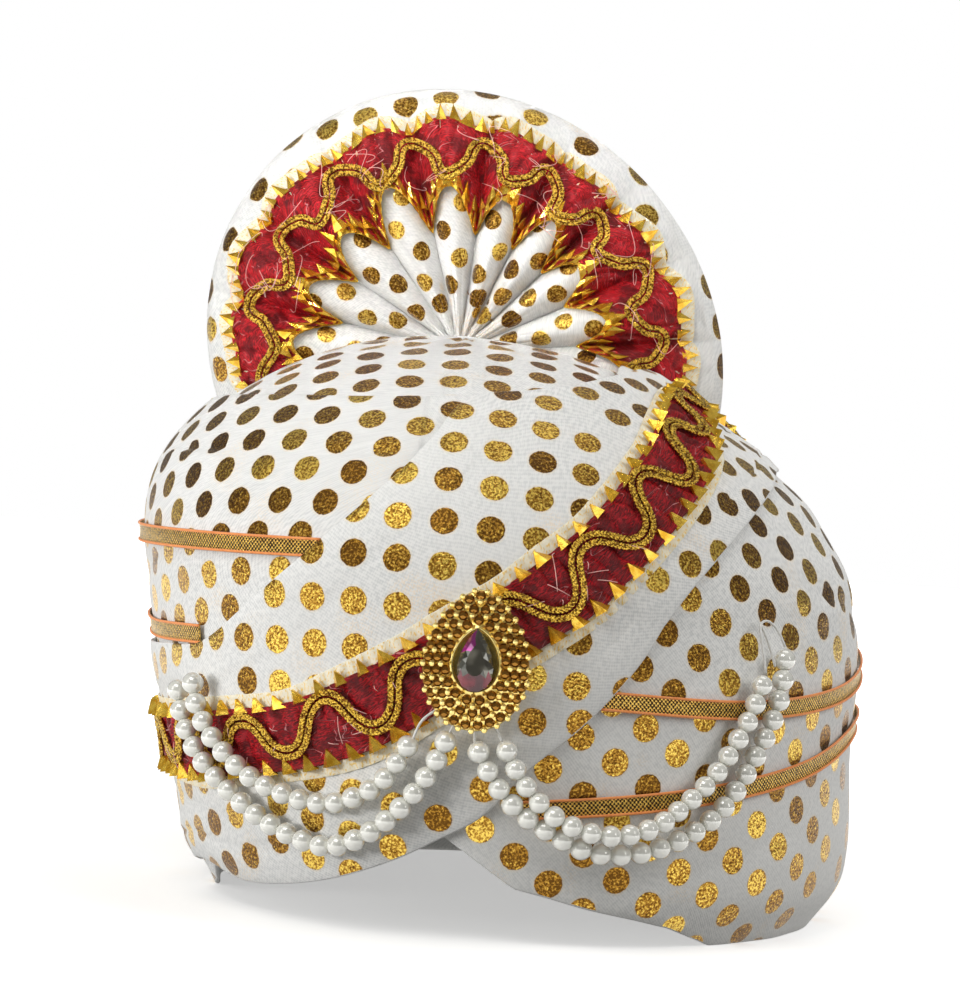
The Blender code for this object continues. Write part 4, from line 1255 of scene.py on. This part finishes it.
def fan_sheet(low, high, rows, forward):
    """Grid of the fan's face between two reaches given a column, and its angles and reaches."""
    angles = fan_angles()
    pleats, phase = pleat_profile(angles)
    share = np.linspace(0, 1, rows + 1)[None, :]
    reach = low[:, None] + (high[:, None] - low[:, None]) * share
    grid = fan_point(angles[:, None], pleats[:, None], reach, forward)
    return angles, pleats, phase, reach, grid


def fan_feet():
    angles = fan_angles()
    pleats, _ = pleat_profile(angles)
    return np.array([fan_foot(angle, pleat) for angle, pleat in zip(angles, pleats)])


def make_fan(material, feet):
    """The pleated fan, gathered towards its foot."""
    _, _, phase, reach, grid = fan_sheet(feet, np.ones(len(feet)), 62, 0.0)
    wrinkle = 0.35 * MM * ripple(grid, 60, 4.4) * smooth(0.05, 0.3, reach)
    gather = 0.9 * MM * np.abs(np.sin(3 * math.pi * phase + 0.7))[:, None] ** 0.5 * smooth(0.46, 0.16, reach)
    grid = push_forward(grid, wrinkle + gather - 0.6 * MM * smooth(0.46, 0.16, reach))
    thing = cloth_solid("cloth_fan", grid, FAN_CLOTH, False, material, fan_dots())
    place_piece(thing, "fan")


def fan_dots():
    """Dots of the fan: a slanting grid near its rim, and five crushed ones on every petal."""
    places = []
    for row in range(-8, 9):
        for column in range(-8, 9):
            across = FAN_DOT_TURN[0] * column - FAN_DOT_TURN[1] * row + FAN_DOT_START[0]
            up = FAN_DOT_TURN[1] * column + FAN_DOT_TURN[0] * row + FAN_DOT_START[1]
            angle = math.degrees(math.atan2(up / FAN_RISE, across / FAN_HALF_WIDTH)) % 360
            reached = math.hypot(across / FAN_HALF_WIDTH, up / FAN_RISE) / float(fan_lean(angle))
            angle = angle - 360 if angle > 270 else angle
            if 0.84 < reached < 1.03 and FAN_FIRST_ANGLE < angle < FAN_LAST_ANGLE:
                places.append((angle, min(reached, 1.0)))
    shrinks = [1.0] * len(places)
    rng = np.random.default_rng(43)
    for index, ridge in enumerate(PLEAT_RIDGES):
        for step in range(5):
            side = FAN_PETAL_SIDE if (step + index) % 2 else -FAN_PETAL_SIDE
            reached = 0.17 + 0.105 * step + 0.035 * (index % 3) + 0.02 * rng.random()
            places.append((ridge + side * (0.7 + 0.6 * rng.random()), reached))
            shrinks.append(1.22 + 0.16 * rng.random())
    centres = []
    rights = []
    ups = []
    for angle, reached in places:
        centre = fan_point(angle, pleat_profile(angle)[0], reached)
        centres.append(centre)
        rights.append(fan_point(angle - 1, pleat_profile(angle - 1)[0], reached) - centre)
        ups.append(centre - fan_point(angle, pleat_profile(angle)[0], reached - 0.02))
    return make_dots(np.array(centres), np.array(rights), np.array(ups), 41, np.array(shrinks))


def fan_lace_edges(feet):
    """Reaches of the lace's inner and outer edge at every angle of the fan."""
    angles = fan_angles()
    pleats, phase = pleat_profile(angles)
    petal = np.abs(np.sin(math.pi * phase)) ** 1.15
    uneven = 0.022 * np.sin(phase * 2.1 + 0.6) + 0.03 * smooth(50, 20, np.abs(angles - 90))
    low = 0.455 + (0.155 + uneven) * petal
    low = np.maximum(low, feet + 0.03)
    high = 0.842 + 0.038 * pleats + 0.012 * np.sin(np.radians(angles * 5))
    high = high + 0.008 * np.sin(np.radians(angles * 23))
    high = np.maximum(high, low + 0.03)
    return low, high


def make_fan_lace(material, feet):
    low, high = fan_lace_edges(feet)
    angles, _, _, reach, grid = fan_sheet(low + 0.015, high - 0.012, 34, FAN_LACE_OUT)
    columns = FAN_HALF_WIDTH * 0.72 * np.radians(angles)[:, None] + 0 * reach
    heights = crinkle(columns * 1.2, reach * FAN_HALF_WIDTH, 8.0)
    grid = push_forward(grid, FAN_PUFF_HEIGHT * np.clip(heights, 0, 1.2))
    thing = cloth_solid("red_lace_fan", grid, LACE_CLOTH, False, material)
    place_piece(thing, "fan_lace")


def make_fan_teeth(foil, net, feet):
    """Gold teeth along both edges of the fan's lace, on a pleated strip."""
    low, high = fan_lace_edges(feet)
    angles = fan_angles()
    pleats, _ = pleat_profile(angles)
    order = np.arange(len(angles))
    rng = np.random.default_rng(51)
    fill = low + 0.040 + 0.055 * (1 - pleats)
    parts = []
    for root, tip, pitch, lift in ((high - 0.024, high + 0.026, 4.5 * MM, 2.6 * MM),
                                   (low + 0.004, fill + 0.030, 5.0 * MM, 2.6 * MM),
                                   (fill - 0.015, fill + 0.052, 5.6 * MM, 3.4 * MM)):
        lengths = arc(fan_point(angles, pleats, root, lift))
        count = round(lengths[-1] / pitch)
        for tooth in range(count):
            corners = []
            jitter = 0.35 * (rng.random(3) - 0.5)
            for step, reaches in ((0.02 + jitter[0], root), (0.98 + jitter[1], root), (0.5 + jitter[2], tip)):
                column = np.interp((tooth + step) / count * lengths[-1], lengths, order)
                angle = float(np.interp(column, order, angles))
                reached = float(np.interp(column, order, reaches)) + 0.010 * (rng.random() - 0.5)
                corners.append(fan_point(angle, pleat_profile(angle)[0], reached, lift))
            out = unit(np.array((0.5 * (rng.random() - 0.5), -1.0, 0.4 * (rng.random() - 0.3))))
            parts.append(folded_tooth(*corners, out, (1.4 + 1.0 * rng.random()) * MM))
    place_piece(join_mesh("fan_teeth", parts, foil, smooth_faces=False))
    for name, edge_low, edge_high, area, material in (("outer", high - 0.05, high + 0.036, 0.0027, net),
                                                      ("inner", low - 0.004, fill + 0.012, 0.0022, foil)):
        grid = fan_sheet(edge_low, edge_high, 5, 1.3 * MM)[4]
        fold = 0.75 * MM * np.abs(np.sin(order * math.pi / 3.0))[:, None] * np.ones(6)
        thing = cloth_solid("fan_net_" + name, push_forward(grid, fold), NET_CLOTH, False, material)
        place_piece(thing)


def make_fan_braid(material, feet):
    """The gold zigzag on the fan's lace, with one swing a pleat each way."""
    angles = np.linspace(FAN_LAST_ANGLE - 1, FAN_FIRST_ANGLE + 1, 1400)
    pleats, phase = pleat_profile(angles)
    foot = np.interp(-angles, -fan_angles(), feet)
    rng = np.random.default_rng(47)
    knots = np.arange(0, len(PLEAT_RIDGES) + 0.5, 0.5)
    swings = (0.040 + 0.040 * rng.random(len(knots))) * np.where(np.arange(len(knots)) % 2, -1, 1)
    reach = 0.735 + np.interp(phase, knots, swings)
    soft = np.ones(19) / 19
    reach = np.convolve(np.pad(reach, 9, mode="edge"), soft, "valid")
    keep = foot + 0.06 < reach - 0.03
    swing = 1.3 * np.sin(4 * math.pi * phase[keep] + 0.8)
    points = fan_point(angles[keep] + swing, pleats[keep], reach[keep], FAN_BRAID_OUT)
    out = np.tile(np.array((0.0, -1.0, 0.0)), (len(points), 1))
    parts = twin_chain(points, out, False, FAN_CHAIN_SIZE)
    place_piece(join_mesh("gold_braid_fan", parts, material), "fan_braid")


def make_loose_threads(material):
    """Pale threads that hang loose over the lace of the fan and of the band."""
    rng = np.random.default_rng(61)
    share = np.linspace(0, 1, 15)
    parts = []
    for _ in range(46):
        angle = rng.uniform(8, 172)
        reach = rng.uniform(0.64, 0.83)
        bend = rng.uniform(-0.05, 0.05)
        angles = angle + rng.uniform(-9, 9) * share + 3 * np.sin(share * 5 + angle)
        reaches = reach + rng.uniform(-0.12, 0.12) * share + bend * np.sin(share * math.pi)
        reaches = np.clip(reaches, 0.60, 0.87)
        pleats = pleat_profile(angles)[0]
        forward = (4.0 + 1.6 * np.sin(share * math.pi)) * MM
        parts.append(tube(fan_point(angles, pleats, reaches, forward), 0.10 * MM, 4))
    for _ in range(34):
        start = rng.uniform(0.02, 0.52)
        stations = start + rng.uniform(-0.02, 0.02) * share
        shares = np.clip(rng.uniform(0.25, 0.75) + rng.uniform(-0.4, 0.4) * share, 0.12, 0.86)
        turn, climb = band_place(LACE_ROWS, stations, shares)
        lift = (5.1 + 0.9 * np.sin(share * math.pi)) * MM
        parts.append(tube(off_body(turn, climb, lift), 0.12 * MM, 4))
    place_piece(join_mesh("loose_threads", parts, material))


def make_thread_ends(material):
    """Thread loops at the ends of the pearl strings, the inner ones under the brooch."""
    parts = [tube(thread_line(rows, 24), THREAD_END, 6) for rows in THREAD_ENDS]
    place_piece(join_mesh("thread_ends", parts, material))


# Ribbons, pearls and brooch


def make_ribbon(name, rows, mesh_material, edge_material):
    rows = np.array(rows, float)
    steps = max(20, int(abs(rows[-1, 0] - rows[0, 0]) * 1.6))
    place = open_curve(rows, np.linspace(0, 1, steps + 1))
    turn, climb = place[:, 0], place[:, 1]
    middle = body(turn, climb)
    out = body_normal(turn, climb)
    up = unit(body(turn, climb + 0.01) - middle)
    shares = np.linspace(-0.5, 0.5, 11)
    lift = 1.2 * MM + 0.25 * MM * np.sin(np.linspace(0, 9, steps + 1))[:, None] * np.cos(shares * 3)[None, :]
    grid = (middle[:, None] + up[:, None] * (shares * (RIBBON_WIDTH - 0.8 * MM))[None, :, None]
            + out[:, None] * lift[..., None])
    flipped = turn[-1] < turn[0]
    thing = cloth_solid("gold_" + name, grid, RIBBON_CLOTH, False, mesh_material, flipped=flipped)
    place_piece(thing, name)
    edges = []
    for side in (-1, 1):
        line = middle + up * (side * (RIBBON_WIDTH / 2 - 0.3 * MM)) + out * 1.25 * MM
        edges.append(tube(line, RIBBON_CORD, 6, up=out))
    cords = join_mesh("edge_" + name, edges, edge_material)
    place_piece(cords)


def ball(radius, columns, rows):
    """Vertices and faces of a round bead about the z axis."""
    vertices = [(0, 0, radius)]
    for row in range(1, rows):
        polar = math.pi * row / rows
        for column in range(columns):
            angle = 2 * math.pi * column / columns
            vertices.append((radius * math.sin(polar) * math.cos(angle),
                             radius * math.sin(polar) * math.sin(angle), radius * math.cos(polar)))
    vertices.append((0, 0, -radius))
    faces = []
    for column in range(columns):
        after = (column + 1) % columns
        faces.append((0, 1 + column, 1 + after))
        last = 1 + (rows - 2) * columns
        faces.append((len(vertices) - 1, last + after, last + column))
        for row in range(rows - 2):
            high = 1 + row * columns
            low = high + columns
            faces.append((high + column, low + column, low + after, high + after))
    return np.array(vertices), faces


def thread_line(rows, samples=400):
    """Points of a string through rows of turn, climb and height over the wall in mm."""
    place = open_curve(np.array(rows, float), np.linspace(0, 1, samples + 1))
    return off_body(place[:, 0], place[:, 1], place[:, 2] * MM)


def make_pearls(name, rows, pearl, thread):
    points = thread_line(rows)
    lengths = arc(points)
    count = round(lengths[-1] / PEARL_PITCH)
    pitch = lengths[-1] / count
    rng = np.random.default_rng(len(name) + int(abs(rows[0][0]) * 10))
    bead, bead_faces = ball(1.0, 24, 16)
    parts = []
    for index in range(count):
        at = (index + 0.5) * pitch
        centre = at_lengths(at, lengths, points)
        radius = (pitch / 2 + PEARL_SQUEEZE) * (1 + 0.03 * (rng.random() - 0.5))
        turned = Matrix.Rotation(rng.random() * 3, 3, "X") @ Matrix.Rotation(rng.random() * 3, 3, "Y")
        parts.append((bead @ np.array(turned).T * radius + centre, bead_faces))
    place_piece(join_mesh("beads_" + name, parts, pearl), name)
    place_piece(join_mesh("thread_" + name, [tube(points[::4], PEARL_THREAD, 6)], thread))


def pear(width, height, roundness, share):
    """Across and up on a drop outline, at a share of the way round from its point at the top."""
    angle = share * 2 * math.pi
    swell = abs(math.sin(angle / 2)) ** roundness
    return width / 2 * math.sin(angle) * swell, height / 2 * math.cos(angle)


def brooch_axes():
    return surface_axes(BROOCH_TURN, BROOCH_CLIMB)


def brooch_point(across, up, height):
    """A point on the brooch, with its height over the face of its mount."""
    centre, right, upward, out = brooch_axes()
    return centre + right * across + upward * up + out * (BROOCH_STAND_OFF + height)


def drop_rings(rows, width, height, swell, steps):
    """Vertices of drop-shaped rings, given their share, their height over the mount and their offset."""
    vertices = []
    for share, level, offset in rows:
        for step in range(steps):
            across, up = pear(width * share, height * share, swell, (step + offset) / steps)
            vertices.append(brooch_point(across, up, level))
    return vertices


def ring_stack(rows, width, height, swell, steps):
    """Drop-shaped rings stacked into one closed solid."""
    vertices = drop_rings([(share, level * MM, 0) for share, level in rows], width, height, swell, steps)
    faces = ring_quads(len(rows), steps, inward=True)
    faces.append(tuple(range(steps)))
    faces.append(tuple((len(rows) - 1) * steps + step for step in reversed(range(steps))))
    return vertices, faces


def stud(centre, right, up, out, radius, height, sides=8):
    """A small faceted dome."""
    vertices = []
    for ring_radius, level in ((1.0, 0.0), (0.96, 0.35), (0.66, 0.8)):
        for side in range(sides):
            angle = 2 * math.pi * (side + 0.5) / sides
            vertices.append(centre + (right * math.cos(angle) + up * math.sin(angle)) * radius * ring_radius
                            + out * height * level)
    vertices.append(centre + out * height)
    faces = ring_quads(3, sides)
    for side in range(sides):
        faces.append((2 * sides + side, 2 * sides + (side + 1) % sides, 3 * sides))
    faces.append(tuple(reversed(range(sides))))
    return vertices, faces


def outline_places(width, height, swell, count, offset=0.0):
    """Evenly spaced places round a drop outline."""
    fine = np.array([pear(width, height, swell, share) for share in np.linspace(0, 1, 721)])
    lengths = arc(fine)
    return at_lengths((np.arange(count) + offset) / count * lengths[-1], lengths, fine)


def claw(centre, tip, radius, sides=5):
    """A small pointed prong."""
    axis = unit(tip - centre)
    side = unit(np.cross(axis, np.array((0.1, 0.2, 1.0))))
    other = np.cross(axis, side)
    vertices = []
    for step in range(sides):
        angle = 2 * math.pi * step / sides
        vertices.append(centre + (side * math.cos(angle) + other * math.sin(angle)) * radius)
    vertices.append(tip)
    faces = [(step, (step + 1) % sides, sides) for step in range(sides)]
    faces.append(tuple(reversed(range(sides))))
    return vertices, faces


def make_brooch(gold, amber):
    _, right, upward, out = brooch_axes()
    plate = ring_stack(PLATE_ROWS, BROOCH_WIDTH, BROOCH_HEIGHT, BROOCH_SWELL, 72)
    place_piece(join_mesh("brooch_plate", [plate], gold), "brooch_setting")
    studs = []
    pins = []
    bead, bead_faces = ball(1.0, 8, 5)
    for share, count, level, offset in BROOCH_RINGS:
        width = BROOCH_WIDTH * share
        height = BROOCH_HEIGHT * share
        for across, up in outline_places(width, height, BROOCH_SWELL, count, offset):
            studs.append(stud(brooch_point(across, up, level * MM), right, upward, out, 1.55 * MM, 1.3 * MM))
        for pin_share in (share - 0.085, share + 0.085):
            places = outline_places(BROOCH_WIDTH * pin_share, BROOCH_HEIGHT * pin_share, BROOCH_SWELL, count,
                                    offset + 0.5)
            for across, up in places:
                base = brooch_point(across, up, level * MM)
                if pin_share < share:
                    pins.append(claw(base, base + out * 2.6 * MM + upward * 0.3 * MM, 1.05 * MM))
                else:
                    pins.append((bead * 0.95 * MM + base + out * 0.9 * MM, bead_faces))
    place_piece(join_mesh("brooch_studs", studs, amber, smooth_faces=False))
    place_piece(join_mesh("brooch_pins", pins, gold, smooth_faces=False))


def make_stone(materials):
    """Pear-cut stone with a table, star facets and a deep pavilion."""
    sides = 16
    rings = [(share, STONE_SEAT + level * STONE_DEPTH, offset) for share, level, offset in STONE_ROWS]
    vertices = drop_rings(rings, STONE_WIDTH, STONE_HEIGHT, STONE_SWELL, sides)
    faces = []
    for ring in range(len(rings) - 1):
        high = ring * sides
        low = high + sides
        turned = rings[ring][2] != rings[ring + 1][2]
        for side in range(sides):
            after = (side + 1) % sides
            if not turned:
                faces.append((high + side, high + after, low + after, low + side))
            elif rings[ring][2] > 0:
                faces.append((high + side, high + after, low + after))
                faces.append((high + side, low + after, low + side))
            else:
                faces.append((high + side, high + after, low + side))
                faces.append((high + after, low + after, low + side))
    faces.append(tuple(reversed(range(sides))))
    faces.append(tuple((len(rings) - 1) * sides + side for side in range(sides)))
    centre, right, upward, _ = brooch_axes()
    # Each facet gets a painted reflection by where it lies: rose at the upper left, deep red at the bottom, a
    # pale grey streak down the middle and at the lower right, olive-dark elsewhere.
    painted_reflections = []
    for face in faces:
        middle = sum(vertices[index] for index in face) / len(face) - centre
        across = middle @ right / STONE_WIDTH
        up = middle @ upward / STONE_HEIGHT
        if up > 0.16 and across < -0.02:
            painted_reflections.append(ROSE_REFLECTION)
        elif up < -0.22:
            painted_reflections.append(RED_REFLECTION)
        elif abs(across) < 0.16 or (across > 0.2 and up < 0):
            painted_reflections.append(GREY_STREAK_REFLECTION)
        else:
            painted_reflections.append(OLIVE_REFLECTION)
    thing = add_mesh("brooch_gem", vertices, faces, materials, smooth_faces=False, face_materials=painted_reflections)
    place_piece(thing, "brooch_stone")


# Camera, light and floor


def make_camera():
    turn = math.radians(CAMERA_TURN)
    rise = math.radians(CAMERA_RISE)
    back = Vector((math.sin(turn) * math.cos(rise), -math.cos(turn) * math.cos(rise), math.sin(rise)))
    right = Vector((math.cos(turn), math.sin(turn), 0))
    target = Vector(SHIFT) + right * LOOK_ACROSS + back.cross(right) * LOOK_UP
    data = bpy.data.cameras.new("photo_camera")
    data.lens = LENS
    data.clip_start = 0.05
    data.clip_end = 20
    camera = bpy.data.objects.new("photo_camera", data)
    bpy.context.scene.collection.objects.link(camera)
    camera.location = Vector(SHIFT) + back * CAMERA_AWAY
    upright = (target - camera.location).to_track_quat("-Z", "Y")
    camera.rotation_mode = "QUATERNION"
    camera.rotation_quaternion = upright @ Quaternion((0, 0, 1), math.radians(CAMERA_ROLL))
    bpy.context.scene.camera = camera


def add_softbox(name, place, aim, size, power, tint, glossy=True, spread=180):
    data = bpy.data.lights.new(name, "AREA")
    data.shape = "RECTANGLE"
    data.size, data.size_y = size
    data.energy = power
    data.color = tint
    data.spread = math.radians(spread)
    lamp = bpy.data.objects.new(name, data)
    bpy.context.scene.collection.objects.link(lamp)
    lamp.location = place
    lamp.rotation_mode = "QUATERNION"
    lamp.rotation_quaternion = (Vector(aim) - Vector(place)).to_track_quat("-Z", "Y")
    lamp.visible_glossy = glossy


def make_world():
    """A soft pale surrounding that the camera sees as pure white."""
    world = bpy.data.worlds.new("studio")
    bpy.context.scene.world = world
    world.use_nodes = True
    tree = world.node_tree
    around_it = tree.nodes["Background"]
    seen = tree.nodes.new("ShaderNodeBackground")
    for node, colour, strength in ((around_it, rgb(1.0, 0.98, 0.93), 0.24), (seen, rgb(1.0, 1.0, 1.0), 1.0)):
        node.inputs["Color"].default_value = colour
        node.inputs["Strength"].default_value = strength
    path = tree.nodes.new("ShaderNodeLightPath")
    pick = tree.nodes.new("ShaderNodeMixShader")
    tree.links.new(path.outputs["Is Camera Ray"], pick.inputs[0])
    tree.links.new(around_it.outputs[0], pick.inputs[1])
    tree.links.new(seen.outputs[0], pick.inputs[2])
    tree.links.new(pick.outputs[0], tree.nodes["World Output"].inputs["Surface"])


def make_studio():
    bpy.context.scene.view_settings.view_transform = "Standard"
    make_world()
    middle = (0.0, 0.0, 0.12)
    foot = (0.0, 0.0, 0.05)
    fan = tuple(FAN_CENTRE + (0, 0, 0.045))
    add_softbox("key_above", (-0.35, -0.75, 1.05), middle, (0.8, 0.5), 3.9, (1.0, 0.99, 0.96))
    add_softbox("left_fill", (-1.35, -0.60, 0.40), middle, (0.9, 0.9), 4.2, PALE, glossy=False)
    add_softbox("top_sheet", (0.10, 0.25, 1.25), middle, (0.9, 0.6), 2.0, CREAM)
    add_softbox("low_left", (-1.15, -0.75, 0.16), foot, (0.6, 0.25), 7.5, PALE, glossy=False)
    add_softbox("right_fill", (1.20, -0.20, 0.80), middle, (0.7, 0.7), 6.5, PALE, glossy=False)
    add_softbox("fan_light", (-0.25, -1.15, 0.80), fan, (0.1, 0.1), 0.048, PALE, spread=12)
    add_softbox("left_strip", (-1.0, -0.8, 0.5), middle, (0.2, 0.7), 1.2, CREAM)
    add_softbox("right_strip", (1.1, -0.6, 0.6), middle, (0.15, 0.6), 0.9, CREAM)
    add_softbox("back_fill", (0.3, 1.5, 0.50), middle, (1.2, 0.9), 9.0, (1.0, 1.0, 1.0), glossy=False)


def make_floor():
    size = 1.5
    corners = [(-size, -size, 0), (size, -size, 0), (size, size, 0), (-size, size, 0)]
    floor = add_mesh("floor", corners, [(0, 1, 2, 3)], [floor_material()])
    floor.visible_diffuse = False


def main():
    make_camera()
    make_studio()
    make_floor()
    cloth = cloth_material()
    lace = lace_material("crimson_lace", rgb(0.10, 0.001, 0.003), rgb(0.46, 0.006, 0.014))
    # The fan's lace is the band's crimson lace in lighter colours: painted light, as the fan's lace stands in
    # brighter light.
    fan_lace = lace_material("crimson_lace_fan_painted_lighter", rgb(0.20, 0.002, 0.005), rgb(0.66, 0.012, 0.022))
    gold_thread = gold_thread_material()
    foil = foil_material()
    net = net_material()
    make_wrap(cloth)
    make_crown(cloth)
    make_crown_button(cloth)
    make_sash(cloth)
    make_lace(lace)
    make_band_teeth(foil, net)
    make_band_braid(gold_thread)
    feet = fan_feet()
    make_fan(cloth, feet)
    make_fan_lace(fan_lace, feet)
    make_fan_teeth(foil, net, feet)
    make_fan_braid(gold_thread, feet)
    make_loose_threads(thread_material())
    ribbon = ribbon_material()
    orange = orange_material()
    for name, rows in RIBBONS.items():
        make_ribbon(name, rows, ribbon, orange)
    pearl = pearl_material()
    white = white_thread_material()
    for name, rows in PEARL_STRINGS.items():
        make_pearls(name, rows, pearl, white)
    make_thread_ends(white)
    make_brooch(brooch_gold_material(), amber_material())
    # The stone's four colours are painted reflections, which make_stone gives to its facets by place.
    make_stone([
        gem_material("gem_olive_reflection", rgb(0.035, 0.035, 0.022), rgb(0.10, 0.10, 0.08)),
        gem_material("gem_grey_streak_reflection", rgb(0.20, 0.19, 0.15), rgb(0.06, 0.055, 0.04)),
        gem_material("gem_red_reflection", rgb(0.22, 0.004, 0.02), rgb(0.07, 0.005, 0.01)),
        gem_material("gem_rose_reflection", rgb(0.42, 0.01, 0.30), rgb(0.16, 0.004, 0.10)),
    ])


main()
